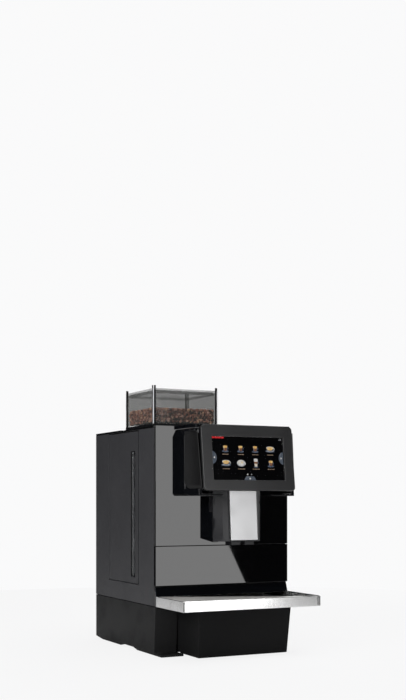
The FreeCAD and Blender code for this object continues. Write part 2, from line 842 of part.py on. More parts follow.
def tilt(body):
    """Lean a flat display piece back about the bezel's lower front edge."""
    lean = FreeCAD.Rotation(FreeCAD.Vector(-1, 0, 0), value("screen_tilt"))
    body.Placement = FreeCAD.Placement(FreeCAD.Vector(), lean)
    body.setExpression("Placement.Base.y", bound(BEZEL_FRONT))
    body.setExpression("Placement.Base.z", bound("bezel_bottom"))
    body.setExpression("Placement.Rotation.Angle", bound("screen_tilt"))
    return body


def make_display():
    """Bezel, glass, panel and case, each flat in its own frame and leaned back together."""
    half = "bezel_width / 2"
    bezel = new_body()
    pad(bezel, "XZ", [rect(f"0 - {half}", half, 0, "bezel_length")], 0, "bezel_thickness")
    fillet(bezel, "bezel_corner", lambda e: along(e, Y_AXIS))
    low, high = "screen_low", "screen_low + screen_length"
    window = rect("0 - screen_width / 2", "screen_width / 2", low, high)
    pocket(bezel, "XZ", [window], -1, "bezel_thickness + 1")
    chamfer(bezel, 1, lambda e: near(middle(e).y, 0) and e.BoundBox.ZLength + e.BoundBox.XLength > 5
            and abs(middle(e).x) > value("screen_width") / 2 + 1)
    keep("display_bezel", tilt(bezel))

    glass = new_body()
    inner = rect("0 - screen_width / 2 + seat", "screen_width / 2 - seat",
                 f"{low} + seat", f"{high} - seat")
    pad(glass, "XZ", [inner], 1, "1 + screen_pane")
    keep("touch_glass", tilt(glass))

    panel = new_body()
    pad(panel, "XZ", [inner], "1 + screen_pane", "bezel_thickness")
    keep("lcd_panel", tilt(panel))

    case = new_body()
    back = "(bezel_thickness + case_thickness)"
    pad(case, "XZ", [rect(f"0 - {half} + 1", f"{half} - 1", 1, "bezel_length - 1")],
        "bezel_thickness", back)
    fillet(case, "bezel_corner - 1", lambda e: along(e, Y_AXIS))
    pocket(case, "XZ", [rect(f"0 - {half} + 5", f"{half} - 5", 5, "bezel_length - 5")],
           f"{back} - case_thickness + 2", f"{back} + 1")
    keep("display_case", tilt(case))


def spout_face(level, back):
    """How far forward the spout's leaning front is at a height, less a set-back."""
    return (f"({FRONT} - spout_front + {back} - (spout_bottom - ({level})) "
            "* tan(spout_slope))")


def spout_plan(level):
    """The spout's outline at a level: a slide in the channel, flared cheeks and a bevelled front."""
    front = spout_face(level, 0)
    cheek = f"{FRONT} - column_lower_reach - slide_gap"
    left = [
        ("0 - spout_width / 2", f"{FRONT} - spout_back"), ("0 - spout_width / 2", cheek),
        ("0 - column_width / 2", cheek), ("0 - spout_width / 2", f"{front} + spout_bevel"),
        ("0 - spout_width / 2 + spout_bevel", front),
    ]
    return left + [(minus(x), y) for x, y in reversed(left)]


def make_spout():
    """Fixed column with its channel, and the spout that slides in it."""
    column = new_body()
    side = [
        (f"{FRONT} - column_upper_reach", "column_step"),
        (f"{FRONT} - column_lower_reach", "column_step"),
        (f"{FRONT} - column_lower_reach", "column_front_bottom"),
        (FRONT, "column_back_bottom"),
        (FRONT, "head_top - head_wall - seat"),
        (f"{FRONT} - column_upper_reach", "head_top - head_wall - seat"),
    ]
    pad(column, "YZ", [side], "0 - column_width / 2", "column_width / 2")
    channel = rect("0 - spout_width / 2 - slide_gap", "spout_width / 2 + slide_gap",
                   f"{FRONT} - column_lower_reach - 1", f"{FRONT} - column_wall")
    pocket(column, "XY", [channel], "column_front_bottom - 1", "head_top")
    keep("spout_column", column)

    half = "spout_width / 2"
    body = loft(new_body(), "PartDesign::AdditiveLoft", "XY", spout_plan("spout_bottom"),
                "spout_bottom", spout_plan("spout_top"), "spout_top")
    wings = [
        rect(f"{sign} * column_width / 2", f"{sign} * ({half} - 1)",
             f"{FRONT} - column_lower_reach - slide_gap", f"{FRONT} - column_upper_reach - slide_gap")
        for sign in (-1, 1)
    ]
    pad(body, "XY", wings, "column_step + slide_gap", "spout_top")
    pocket(body, "XY", [rect(f"0 - {half} + lining", f"{half} - lining",
                             f"{FRONT} - spout_front + spout_bevel + 8",
                             f"{FRONT} - spout_back - lining")],
           "spout_bottom + lining", "spout_top + 1")
    guides = [rect(f"{sign} * 12 - 6", f"{sign} * 12 + 6", f"{FRONT} - spout_back - 1",
                   f"{FRONT} - column_wall - seat") for sign in (-1, 1)]
    pad(body, "XY", guides, "spout_bottom + 20", "spout_top")
    keep("spout_body", body)

    cover = new_body()
    outline = [
        (spout_face("cover_bottom", 0), "cover_bottom"),
        (spout_face("cover_bottom", "(0 - cover_depth)"), "cover_bottom"),
        (spout_face("cover_top", "(0 - cover_depth)"), "cover_top"),
        (spout_face("cover_top", 0), "cover_top"),
    ]
    pad(cover, "YZ", [outline], "0 - cover_width / 2", "cover_width / 2")
    inner = [
        (spout_face("cover_bottom + 1.5", 1), "cover_bottom + 1.5"),
        (spout_face("cover_bottom + 1.5", "(1.5 - cover_depth)"), "cover_bottom + 1.5"),
        (spout_face("cover_top + 1", "(1.5 - cover_depth)"), "cover_top + 1"),
        (spout_face("cover_top + 1", 1), "cover_top + 1"),
    ]
    pocket(cover, "YZ", [inner], "1.5 - cover_width / 2", "cover_width / 2 - 1.5")
    keep("spout_cover", cover)

    nozzles = []
    for sign in (-1, 1):
        centre = f"{sign} * nozzle_spacing / 2"
        block = box((f"{centre} - nozzle_width / 2", f"{centre} + nozzle_width / 2"),
                    (f"{FRONT} - spout_front + 4", f"{FRONT} - spout_front + 30"),
                    ("spout_bottom - nozzle_drop", "spout_bottom"))
        outlet = rod("z", (centre, f"{FRONT} - spout_front + 17"),
                     "spout_bottom - nozzle_drop - 1", "spout_bottom - 2", 4)
        nozzles.append(less(block, outlet))
    keep("spout_nozzles", group(*nozzles))


# ---- grounds drawer and drip tray

def make_grounds_drawer():
    """Lower gloss panel with the coffee-grounds container behind it, and its rails."""
    panel = new_body()
    pad(panel, "XZ", [rect(minus(HALF), "width / 2 - slide_gap", "drawer_bottom", PANEL_TOP)],
        FRONT, DOOR_BACK)
    keep("drawer_panel", panel)

    x = ("0 - container_width / 2", "container_width / 2")
    y = (DOOR_BACK, f"{DOOR_BACK} + container_length")
    z = ("drawer_bottom + 1", "drawer_bottom + 1 + container_height")
    keep("grounds_container", tray_of(x, y, z, "lining", "lining"))

    rails = []
    for sign in (-1, 1):
        edge = f"{sign} * (container_width / 2 + slide_gap)"
        out = f"{edge} + {sign} * 3"
        inn = f"{edge} - {sign} * rail_width"
        web_x = (edge, out) if sign > 0 else (out, edge)
        ledge_x = (inn, edge) if sign > 0 else (edge, inn)
        reach = (f"{DECK_FRONT} + 2", f"{DOOR_BACK} + container_length + 2")
        web = box(web_x, reach, (DECK_TOP, "drawer_bottom + 10"))
        ledge = box(ledge_x, reach,
                    ("drawer_bottom + 1 - seat - sheet", "drawer_bottom + 1 - seat"))
        rails.append(joined(web, ledge))
    keep("container_rails", group(*rails))


def make_tray():
    """Drip tray: frame with the raised rear wall, steel band, grate and waste tub."""
    frame = new_body()
    side = f"(width / 2 - band_sheet - seat)"
    front = f"({TRAY} + band_sheet + seat)"
    join = f"({FRONT} - 1)"
    wall = [
        (join, TRAY_FLOOR), (f"{FRONT} + wall_run", TRAY_FLOOR),
        (f"{FRONT} + wall_run", "drawer_bottom - slide_gap"),
        (f"{FRONT} + wall_run - 2", "drawer_bottom - slide_gap"),
        (join, f"{BAND_TOP} - 1"),
    ]
    pad(frame, "YZ", [wall], "slide_gap - width / 2", "width / 2 - slide_gap")
    pad(frame, "XY", [rect(minus(side), side, front, join)], TRAY_FLOOR, f"{BAND_TOP} - 1")
    ledge = f"({BAND_TOP} - 1 - grate_sheet)"
    seat_of_grate = rect(f"{minus(side)} + lining", f"{side} - lining", f"{front} + lining",
                         f"{join} - 1")
    pocket(frame, "XY", [seat_of_grate], ledge, f"{BAND_TOP} + 1")
    basin = rect(f"{minus(side)} + lining + grate_ledge", f"{side} - lining - grate_ledge",
                 f"{front} + lining + grate_ledge", f"{join} - 1 - grate_ledge")
    pocket(frame, "XY", [basin], f"{TRAY_FLOOR} + lining", f"{ledge} + 1")
    drain = rect(-30, 30, f"{join} - 60", f"{join} - 30")
    pocket(frame, "XY", [drain], f"{TRAY_FLOOR} - 1", f"{TRAY_FLOOR} + lining + 1")
    keep("tray_frame", frame)

    band = new_body()
    outer = rect(minus(HALF), HALF, TRAY, f"{FRONT} - 1.5")
    pad(band, "XY", [outer], f"{TUB_TOP}", BAND_TOP)
    front_edge = value(TRAY)
    fillet(band, "band_corner", lambda e: along(e, Z_AXIS) and near(middle(e).y, front_edge))
    inner = rect(f"{minus(HALF)} + band_sheet", f"{HALF} - band_sheet",
                 f"{TRAY} + band_sheet", f"{FRONT}")
    pocket(band, "XY", [inner], f"{TUB_TOP} - 1", f"{BAND_TOP} + 1")
    keep("tray_band", band)

    grate = new_body()
    grate_side = f"({side} - lining - seat)"
    grate_front = f"({front} + lining + seat)"
    grate_back = f"({join} - 1 - seat)"
    grate_low = f"({ledge})"
    pad(grate, "XY", [rect(minus(grate_side), grate_side, grate_front, grate_back)],
        grate_low, f"{BAND_TOP} - 1")
    first = "(0 - grate_slot_pitch * (grate_slot_count - 1) / 2)"
    pocket(grate, "XY", [rect(f"{first} - grate_slot / 2", f"{first} + grate_slot / 2",
                              f"{grate_front} + 10", f"{grate_back} - 10")],
           f"{grate_low} - 1", f"{BAND_TOP} + 1")
    last = grate.Tip
    pattern = grate.newObject("PartDesign::LinearPattern", fresh("Row"))
    pattern.Originals = [last]
    pattern.Direction = (last.Profile[0], ["H_Axis"])
    pattern.setExpression("Length", bound("grate_slot_pitch * (grate_slot_count - 1)"))
    pattern.setExpression("Occurrences", bound("grate_slot_count"))
    grate.Tip = pattern
    keep("drip_grate", grate)

    make_tub()


def loft(body, kind, plane, low_loop, low, high_loop, high):
    """Join two outlines at two levels into a leaning-sided solid or hollow."""
    feature = body.newObject(kind, fresh("Loft"))
    feature.Profile = sketch_on(body, plane, [low_loop], low)
    feature.Sections = [sketch_on(body, plane, [high_loop], high)]
    feature.Ruled = True
    body.Tip = feature
    doc.recompute()
    return body


def make_tub():
    """Waste-water tub: drafted box whose front hangs below the plinth's floor."""
    tub = new_body()
    half = "tub_width / 2"
    low = "floor_level"
    front = f"({FRONT} - tub_front)"
    end = f"({FRONT} - tub_front + tub_length)"
    bottom = rect(f"tub_taper - {half}", f"{half} - tub_taper", f"{front} + tub_lean", end)
    top = rect(f"0 - {half}", half, front, end)
    loft(tub, "PartDesign::AdditiveLoft", "XY", bottom, low, top, TUB_TOP)
    inner_low = f"({FLOOR_TOP} + tub_runner + seat)"
    step = rect(f"0 - {half} - 1", f"{half} + 1", f"{FRONT} - 1", f"{end} + 1")
    pocket(tub, "XY", [step], f"{low} - 1", inner_low)
    wall = "lining"
    inner_bottom = rect(f"tub_taper - {half} + {wall}", f"{half} - tub_taper - {wall}",
                        f"{front} + tub_lean + {wall}", f"{end} - {wall}")
    inner_top = rect(f"0 - {half} + {wall}", f"{half} - {wall}", f"{front} + {wall}",
                     f"{end} - {wall}")
    loft(tub, "PartDesign::SubtractiveLoft", "XY", inner_bottom, f"{inner_low} + lining",
         inner_top, f"{TUB_TOP} + 0.01")
    keep("waste_tub", tub)


# ---- water tank

def make_tank():
    """Tank that pulls out sideways, with its lid, outer face and valve."""
    x = (minus(INSIDE), f"{minus(INSIDE)} + tank_width")
    y = (TANK_FRONT, TANK_BACK)
    nozzle = rod("x", (VALVE_Y, "valve_level"), f"{x[1]} - 1", "partition + sheet + 6",
                 "valve_radius")
    shell = tray_of(x, y, ("tank_bottom", "tank_top"), "lining", "lining")
    keep("water_tank", joined(shell, nozzle))

    lid_plate = box(x, y, ("tank_top", "tank_top + 3"))
    plug = box((f"{x[0]} + lining + seat", f"{x[1]} - lining - seat"),
               (f"{y[0]} + lining + seat", f"{y[1]} - lining - seat"),
               ("tank_top - 4", "tank_top"))
    keep("tank_lid", joined(lid_plate, plug))

    face = new_body()
    gap = "face_gap"
    outline = rect(f"tank_door_front + {gap}", f"tank_door_back - {gap}",
                   f"tank_bottom + {gap}", f"{COVER_UNDER} - {gap}")
    pad(face, "YZ", [outline], minus(HALF), minus(INSIDE))
    grip = rect("grip_front", "grip_back", "grip_bottom", "grip_top")
    pocket(face, "YZ", [grip], f"{minus(HALF)} - 1", f"{minus(INSIDE)} + 1")
    corner = value(f"tank_bottom + {gap}")
    fillet(face, 4, lambda e: along(e, X_AXIS) and near(middle(e).z, corner))
    keep("tank_face", face)

    outer = rod("x", (VALVE_Y, "valve_level"), "partition + sheet", "partition + sheet + 18",
                "valve_radius + 4")
    bore = rod("x", (VALVE_Y, "valve_level"), "partition + sheet - 1", "partition + sheet + 10",
               "valve_radius + seat")
    keep("tank_socket", less(outer, bore))


# ---- bean hopper and grinder

def make_hopper():
    """Smoked bean hopper between four dark corner posts, on a plate over the grinder."""
    x = (HOPPER_LEFT, HOPPER_RIGHT)
    y = (HOPPER_FRONT, HOPPER_BACK)
    throat = rod("z", ("grinder_x", "grinder_y"), "body_height - 1", f"{HOPPER_FLOOR} + 6",
                 "throat_radius + seat")
    keep("hopper_plate", less(box(x, y, ("body_height", HOPPER_FLOOR)), throat))

    inset = "(post_sheet + seat)"
    body_x = (f"{x[0]} + {inset}", f"{x[1]} - {inset}")
    body_y = (f"{y[0]} + {inset}", f"{y[1]} - {inset}")
    shell = tray_of(body_x, body_y, (HOPPER_FLOOR, HOPPER_TOP), "lining", "lining")
    keep("hopper_body", less(shell, rod("z", ("grinder_x", "grinder_y"), "body_height",
                                        f"{HOPPER_FLOOR} + 6", "throat_radius - 1.5")))

    posts = []
    for sx in (-1, 1):
        for sy in (-1, 1):
            corner_x = x[0] if sx < 0 else x[1]
            corner_y = y[0] if sy < 0 else y[1]
            low_x = corner_x if sx < 0 else f"{corner_x} - post_leg"
            low_y = corner_y if sy < 0 else f"{corner_y} - post_leg"
            cut_x = f"{corner_x} + post_sheet" if sx < 0 else f"{corner_x} - post_leg - 1"
            cut_y = f"{corner_y} + post_sheet" if sy < 0 else f"{corner_y} - post_leg - 1"
            whole = box((low_x, f"{low_x} + post_leg"), (low_y, f"{low_y} + post_leg"),
                        (HOPPER_FLOOR, f"{HOPPER_TOP} + post_rise"))
            inner = box((cut_x, f"{cut_x} + post_leg + 1 - post_sheet"),
                        (cut_y, f"{cut_y} + post_leg + 1 - post_sheet"),
                        (f"{HOPPER_FLOOR} - 1", f"{HOPPER_TOP} + post_rise + 1"))
            posts.append(less(whole, inner))
    keep("hopper_posts", group(*posts))

    gap = "(lining + seat)"
    keep("coffee_beans", box((f"{body_x[0]} + {gap}", f"{body_x[1]} - {gap}"),
                             (f"{body_y[0]} + {gap}", f"{body_y[1]} - {gap}"),
                             (f"{HOPPER_FLOOR} + lining + seat", f"{HOPPER_FLOOR} + bean_depth")))

    plate = box(body_x, body_y, (HOPPER_TOP, f"{HOPPER_TOP} + hopper_lid_rise"))
    plug = box((f"{body_x[0]} + lining + slide_gap", f"{body_x[1]} - lining - slide_gap"),
               (f"{body_y[0]} + lining + slide_gap", f"{body_y[1]} - lining - slide_gap"),
               (f"{HOPPER_TOP} - 5", f"{HOPPER_TOP} + 1"))
    well = box((f"{body_x[0]} + lining + 3", f"{body_x[1]} - lining - 3"),
               (f"{body_y[0]} + lining + 3", f"{body_y[1]} - lining - 3"),
               (f"{HOPPER_TOP} - 6", f"{HOPPER_TOP} + 2"))
    keep("hopper_lid", less(joined(plate, plug), well))


def make_grinder():
    """Burr grinder on its motor, fed from the hopper and emptying into a chute."""
    centre = ("grinder_x", "grinder_y")
    keep("grinder_motor", rod("z", centre, SHELF_TOP, "grinder_bottom", "motor_radius"))

    outer = rod("z", centre, "grinder_bottom", "grinder_top", "grinder_radius")
    bore = rod("z", centre, "grinder_bottom + 8", "grinder_top + 1", "grinder_bore")
    shaft_hole = rod("z", centre, "grinder_bottom - 1", "grinder_bottom + 9",
                     "shaft_radius + 1.5")
    outlet = box(("grinder_x + grinder_bore - 6", "grinder_x + grinder_radius + 1"),
                 ("grinder_y - 7", "grinder_y + 7"),
                 ("grinder_bottom + 10", "grinder_bottom + 26"))
    keep("grinder_housing", less(outer, bore, shaft_hole, outlet))

    disc_part = rod("z", centre, "burr_bottom", "burr_bottom + burr_height", "burr_radius")
    shaft = rod("z", centre, "grinder_bottom + seat", "burr_bottom + 1", "shaft_radius")
    keep("lower_burr", joined(disc_part, shaft))

    upper_low = "burr_bottom + burr_height + burr_gap"
    ring = rod("z", centre, upper_low, f"{upper_low} + 10", "burr_radius")
    eye = rod("z", centre, f"{upper_low} - 1", f"{upper_low} + 11", "throat_radius + seat")
    keep("upper_burr", less(ring, eye))

    sleeve = rod("z", centre, f"{upper_low} + 10", "grinder_top + 6", "grinder_bore - seat")
    collar = rod("z", centre, "grinder_top + seat", "grinder_top + 6", "ring_collar")
    hole = rod("z", centre, upper_low, "grinder_top + 7", "throat_radius + seat")
    lever = box(("grinder_x - 4", "grinder_x + 4"),
                ("grinder_y - ring_collar - 8", "grinder_y - ring_collar + 3"),
                ("grinder_top + seat", "grinder_top + 6"))
    keep("grind_adjuster", less(joined(sleeve, collar, lever), hole))

    neck = rod("z", centre, "grinder_top - 10", HOPPER_FLOOR, "throat_radius")
    way = rod("z", centre, "grinder_top - 11", f"{HOPPER_FLOOR} + 1", "throat_radius - 1.5")
    keep("bean_throat", less(neck, way))

    chute_x = ("grinder_x + grinder_radius + seat", "brewer_x - brewer_half - seat")
    chute = less(
        box(chute_x, ("grinder_y - 9", "grinder_y + 9"),
            ("grinder_bottom + 8", "grinder_bottom + 28")),
        box((f"{chute_x[0]} - 1", f"{chute_x[1]} + 1"), ("grinder_y - 7", "grinder_y + 7"),
            ("grinder_bottom + 10", "grinder_bottom + 26")),
    )
    keep("grounds_chute", chute)


# ---- brewing unit

def make_brewer():
    """Brewing unit: frame, chamber, and a piston driven by a motor's threaded spindle."""
    x0, x1 = "(brewer_x - brewer_half)", "(brewer_x + brewer_half)"
    y = ("brewer_y - 30", "brewer_y + 30")
    centre = ("brewer_x", "brewer_y")
    left = less(
        box((x0, f"{x0} + 3"), y, (SHELF_TOP, "brewer_top")),
        box((f"{x0} - 1", f"{x0} + 4"), ("grinder_y - 7", "grinder_y + 7"),
            ("grinder_bottom + 10", "grinder_bottom + 26")),
    )
    right = box((f"{x1} - 3", x1), y, (SHELF_TOP, "brewer_top"))
    roof = less(box((x0, x1), y, ("brewer_top", "brewer_top + 3")),
                rod("z", centre, "brewer_top - 1", "brewer_top + 4", "spindle_radius + 1"))
    seat_plate = less(
        box((x0, x1), y, ("chamber_bottom - 3", "chamber_bottom")),
        rod("z", centre, "chamber_bottom - 4", "chamber_bottom + 1", "piston_radius + seat"),
    )
    keep("brewer_frame", joined(left, right, roof, seat_plate))

    keep("brew_chamber", less(
        rod("z", centre, "chamber_bottom", "chamber_top", "chamber_radius"),
        rod("z", centre, "chamber_bottom - 1", "chamber_top + 1", "piston_radius + seat"),
    ))

    low = "(chamber_top + piston_lift)"
    crown = rod("z", centre, low, f"{low} + piston_crown", "piston_radius")
    stem = rod("z", centre, f"{low} + 1", "brewer_top - 2", "rod_radius")
    bore = rod("z", centre, f"{low} + 4", "brewer_top", "spindle_radius + seat")
    keep("brew_piston", less(joined(crown, stem), bore))

    keep("brew_spindle", rod("z", centre, f"{low} + 5", "brewer_top + 3", "spindle_radius"))
    keep("brew_motor", rod("z", centre, "brewer_top + 3", "brewer_top + 42",
                           "brew_motor_radius"))


# ---- boiler, pump, electrics

def pipe(points, radius, bend):
    """A round pipe of straight runs joined by tangent arcs of one radius."""
    corners = [FreeCAD.Vector(*p) for p in points]
    edges = []
    start = corners[0]
    for before, corner, after in zip(corners, corners[1:], corners[2:]):
        inward = (before - corner).normalize()
        outward = (after - corner).normalize()
        half = inward.getAngle(outward) / 2
        reach = bend / math.tan(half)
        first, last = corner + inward * reach, corner + outward * reach
        bisector = (inward + outward).normalize()
        centre = corner + bisector * (bend / math.sin(half))
        crest = centre - bisector * bend
        edges.append(Part.LineSegment(start, first).toShape())
        edges.append(Part.Arc(first, crest, last).toShape())
        start = last
    edges.append(Part.LineSegment(start, corners[-1]).toShape())
    path = Part.Wire(edges)
    heading = (corners[1] - corners[0]).normalize()
    section = Part.Wire(Part.Circle(corners[0], heading, radius).toShape())
    shape = path.makePipeShell([section], True, False)
    feature = doc.addObject("Part::Feature", fresh("Pipe"))
    feature.Shape = shape
    return feature


def make_water_side():
    """Boiler and pump on the deck, with the pipes between tank, pump, boiler and brewer."""
    boiler = new_body()
    pad(boiler, "XY", [disc(BOILER_X, BOILER_Y, "boiler_radius")], DECK_TOP,
        f"{DECK_TOP} + boiler_height")
    fillet(boiler, 8, lambda e: e.Curve.TypeId == "Part::GeomCircle")
    keep("boiler", boiler)

    pump_y = (f"{PUMP_Y}", f"{PUMP_Y} + 80")
    level = f"({DECK_TOP} + 18)"
    coil = rod("y", (PUMP_X, level), f"{PUMP_Y} + 20", f"{PUMP_Y} + 60", 18)
    ends = rod("y", (PUMP_X, level), *pump_y, 8)
    keep("water_pump", joined(coil, ends))

    r = value("pipe_radius")
    boiler_top = value(f"{DECK_TOP} + boiler_height")
    pump_level = value(level)
    bend = 4 * r
    suction = pipe([
        (value("partition + sheet + 18"), value(VALVE_Y), value("valve_level")),
        (value(PUMP_X), value(VALVE_Y), value("valve_level")),
        (value(PUMP_X), value(f"{PUMP_Y} - 20"), value("valve_level")),
        (value(PUMP_X), value(f"{PUMP_Y} - 20"), pump_level),
        (value(PUMP_X), value(PUMP_Y), pump_level),
    ], r, bend)
    hot = pipe([
        (value(BOILER_X), value(BOILER_Y), boiler_top),
        (value(BOILER_X), value(BOILER_Y), value("chamber_bottom - 20")),
        (value("brewer_x"), value(BOILER_Y), value("chamber_bottom - 20")),
        (value("brewer_x"), value("brewer_y + chamber_radius + 30"), value("chamber_bottom - 20")),
        (value("brewer_x"), value("brewer_y + chamber_radius + 30"), value("chamber_bottom + 20")),
        (value("brewer_x"), value("brewer_y + chamber_radius"), value("chamber_bottom + 20")),
    ], r, bend * 0.75)
    keep("water_pipes", group(suction, hot))


BOILER_X = "(width / 2 - 62)"
BOILER_Y = f"({BACK} - 120)"
PUMP_X = "(partition + sheet + 42)"
PUMP_Y = f"({BACK} - 90)"


def make_electrics():
    """Control board, power supply, mains inlet and rocker switch."""
    board = box(("width / 2 - skin - 5", "width / 2 - skin - 3.4"), (-60, 130), (270, 420))
    chips = [box(("width / 2 - skin - 17", "width / 2 - skin - 5"), (y, f"{y} + 22"), (z, f"{z} + 30"))
             for y, z in ((-50, 280), (-10, 360), (40, 300), (90, 370))]
    posts = [rod("x", (y, z), "width / 2 - skin - 4", INSIDE, 3)
             for y in (-52, 122) for z in (276, 414)]
    keep("control_board", joined(board, *chips, *posts))

    keep("power_supply", less(
        box(("width / 2 - skin - 58", "width / 2 - skin - 4"), (f"{BACK} - 76", f"{BACK} - 12"),
            (DECK_TOP, f"{DECK_TOP} + 46")),
        box(("width / 2 - skin - 50", "width / 2 - skin - 12"), (f"{BACK} - 68", f"{BACK} - 20"),
            (f"{DECK_TOP} + 40", f"{DECK_TOP} + 47")),
    ))

    left, right = f"{SOCKET_X} - inlet_width / 2 + seat", f"{SOCKET_X} + inlet_width / 2 - seat"
    low, high = f"{SOCKET_Z} + seat", f"{SOCKET_Z} + inlet_height - seat"
    inlet = less(box((left, right), (f"{BACK} - 22", f"{BACK} - seat"), (low, high)),
                 box((f"{left} + 2", f"{right} - 2"), (f"{BACK} - 18", BACK),
                     (f"{low} + 2", f"{high} - 2")))
    pins = [box((f"{SOCKET_X} + {x} - 1", f"{SOCKET_X} + {x} + 1"), (f"{BACK} - 19", f"{BACK} - 4"),
                (f"{low} + {z}", f"{low} + {z} + 4")) for x, z in ((-7, 6), (0, 11), (7, 6))]

    s_left, s_right = f"{SWITCH_LEFT} + seat", f"{SWITCH_LEFT} + switch_width - seat"
    switch_frame = less(
        box((s_left, s_right), (f"{BACK} - 22", f"{BACK} - seat"), (low, high)),
        box((f"{s_left} + 2", f"{s_right} - 2"), (f"{BACK} - 12", BACK),
            (f"{low} + 2", f"{high} - 2")),
    )
    keep("power_inlet", group(joined(inlet, *pins), switch_frame))
    middle_z = f"({SOCKET_Z} + inlet_height / 2)"
    pivot_y = f"({BACK} - 7)"
    paddle = box((f"{s_left} + 2 + seat", f"{s_right} - 2 - seat"),
                 (f"{BACK} - 7", f"{BACK} - 2.5"),
                 (f"{middle_z} - 7.5", f"{middle_z} + 7.5"))
    boss = rod("x", (pivot_y, middle_z), f"{s_left} + 2 + seat", f"{s_right} - 2 - seat", 3)
    keep("rocker_switch", joined(paddle, boss))


make_base()
make_feet()
make_inner_frame()
make_side_panels()
make_rear_panel()
make_top_cover()
make_door()
make_head()
make_display()
make_spout()
make_grounds_drawer()
make_tray()
make_tank()
make_hopper()
make_grinder()
make_brewer()
make_water_side()
make_electrics()

doc.recompute()

for item in doc.Objects:
    if {"Invalid", "Error"} & set(item.State):
        raise RuntimeError(f"{item.Name} ({item.Label}) failed: {item.State}")
for node, piece in solids.items():
    if piece.Shape.isNull() or not piece.Shape.isValid() or not piece.Shape.Solids:
        raise RuntimeError(f"{node} has no valid solid")

os.makedirs("parts", exist_ok=True)
for node, piece in solids.items():
    piece.Shape.exportStep(os.path.join("parts", node + ".step"))
print(f"{len(solids)} pieces written")
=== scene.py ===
# %% [markdown]
# # A counter-top bean-to-cup coffee machine
# The model arrives from CAD as a fixed frame: every node sits where the designer put it, in metres.
# Blender adds what CAD leaves plain: rounded edges, finishes, coffee beans, the drinks menu and light.
# The file reads from top to bottom, like a notebook, and each cell prints what it made.

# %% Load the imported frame
import bpy
import bmesh
import json
import math
import random
from mathutils import Matrix, Vector, noise

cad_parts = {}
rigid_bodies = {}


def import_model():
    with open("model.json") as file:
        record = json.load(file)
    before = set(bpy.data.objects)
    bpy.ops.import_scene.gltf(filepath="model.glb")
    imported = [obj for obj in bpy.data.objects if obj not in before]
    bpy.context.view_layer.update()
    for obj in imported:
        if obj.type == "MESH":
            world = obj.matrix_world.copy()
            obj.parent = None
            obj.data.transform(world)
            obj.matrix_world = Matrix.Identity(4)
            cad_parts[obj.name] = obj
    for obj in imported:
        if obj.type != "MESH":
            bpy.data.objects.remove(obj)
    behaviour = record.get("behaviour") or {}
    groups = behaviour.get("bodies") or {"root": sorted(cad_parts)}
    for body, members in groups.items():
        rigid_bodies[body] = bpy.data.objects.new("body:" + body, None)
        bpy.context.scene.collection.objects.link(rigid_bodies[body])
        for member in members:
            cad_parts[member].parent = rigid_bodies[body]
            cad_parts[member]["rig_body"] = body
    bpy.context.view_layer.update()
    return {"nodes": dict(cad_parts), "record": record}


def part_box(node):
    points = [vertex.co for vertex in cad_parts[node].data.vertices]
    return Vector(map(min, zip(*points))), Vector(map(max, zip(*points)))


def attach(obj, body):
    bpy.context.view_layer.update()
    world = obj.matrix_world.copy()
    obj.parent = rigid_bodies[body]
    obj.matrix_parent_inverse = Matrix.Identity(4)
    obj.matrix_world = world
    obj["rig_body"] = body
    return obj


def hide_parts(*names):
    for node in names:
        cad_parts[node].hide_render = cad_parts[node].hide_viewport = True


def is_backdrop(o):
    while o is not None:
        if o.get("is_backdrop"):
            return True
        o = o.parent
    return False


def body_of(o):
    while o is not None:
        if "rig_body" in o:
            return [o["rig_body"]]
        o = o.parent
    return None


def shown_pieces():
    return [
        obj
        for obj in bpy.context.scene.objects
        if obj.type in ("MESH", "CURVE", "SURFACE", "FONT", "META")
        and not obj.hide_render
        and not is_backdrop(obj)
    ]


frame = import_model()
MM = 0.001

# %% [markdown]
# ## Where things are
# Every place comes from the frame. `span("node")` gives a node's lowest and highest corner, and the
# few planes that many pieces share get a name here, once. The body that a node rides on is looked up
# too, so a new piece always moves with the node that it stands for.

# %% Places and bodies
body_of_node = {
    node: body
    for body, members in frame["record"]["behaviour"]["bodies"].items()
    for node in members
}


def span(node):
    """Lowest and highest corner of a CAD node, in metres."""
    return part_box(node)


HALF_WIDTH = span("door_pane")[1].x
FRONT = span("door_pane")[0].y
print("half width", round(HALF_WIDTH, 4), "front", round(FRONT, 4))

# %% [markdown]
# ## The camera
# The machine is seen from its front left corner, with the lens level at about the middle of the
# machine. A level camera keeps upright edges upright, as in most product shots, and the lens is
# shifted, as on a view camera, to leave white space above. A long lens keeps the far edge of the
# tray from looking small.

# %% Camera
CAMERA_PLACE = Vector((-1.019, -2.0565, 0.3093))
CAMERA_TURN = math.radians(-26.43)
LENS = 56.22
LENS_RISE = 0.2123

camera_data = bpy.data.cameras.new("studio_camera")
camera_data.sensor_width = 36.0
camera_data.lens = LENS
camera_data.shift_y = LENS_RISE
camera_data.clip_start = 0.05
camera_data.clip_end = 60.0
camera = bpy.data.objects.new("studio_camera", camera_data)
camera.location = CAMERA_PLACE
camera.rotation_euler = (math.radians(90.0), 0.0, CAMERA_TURN)
bpy.context.scene.collection.objects.link(camera)
bpy.context.scene.camera = camera
bpy.context.scene.view_settings.view_transform = "Standard"
print("camera at", [round(v, 3) for v in camera.location])

# %% [markdown]
# ## Studio: background
# Product shots of gloss black machines have two worlds in one. The eye sees a white room, but the
# gloss panels must mirror darkness, or the black turns grey. The Light Path node tells a ray that
# comes straight from the camera from one that has bounced off the machine, so one world can be
# white for the first and nearly black for the others.

# %% World
ROOM_WHITE = 0.955
ROOM_MIRRORED = 0.022
ROOM_COLOUR = (ROOM_WHITE, ROOM_WHITE, ROOM_WHITE * 1.004, 1.0)
MIRRORED_COLOUR = (ROOM_MIRRORED, ROOM_MIRRORED, ROOM_MIRRORED * 1.15, 1.0)

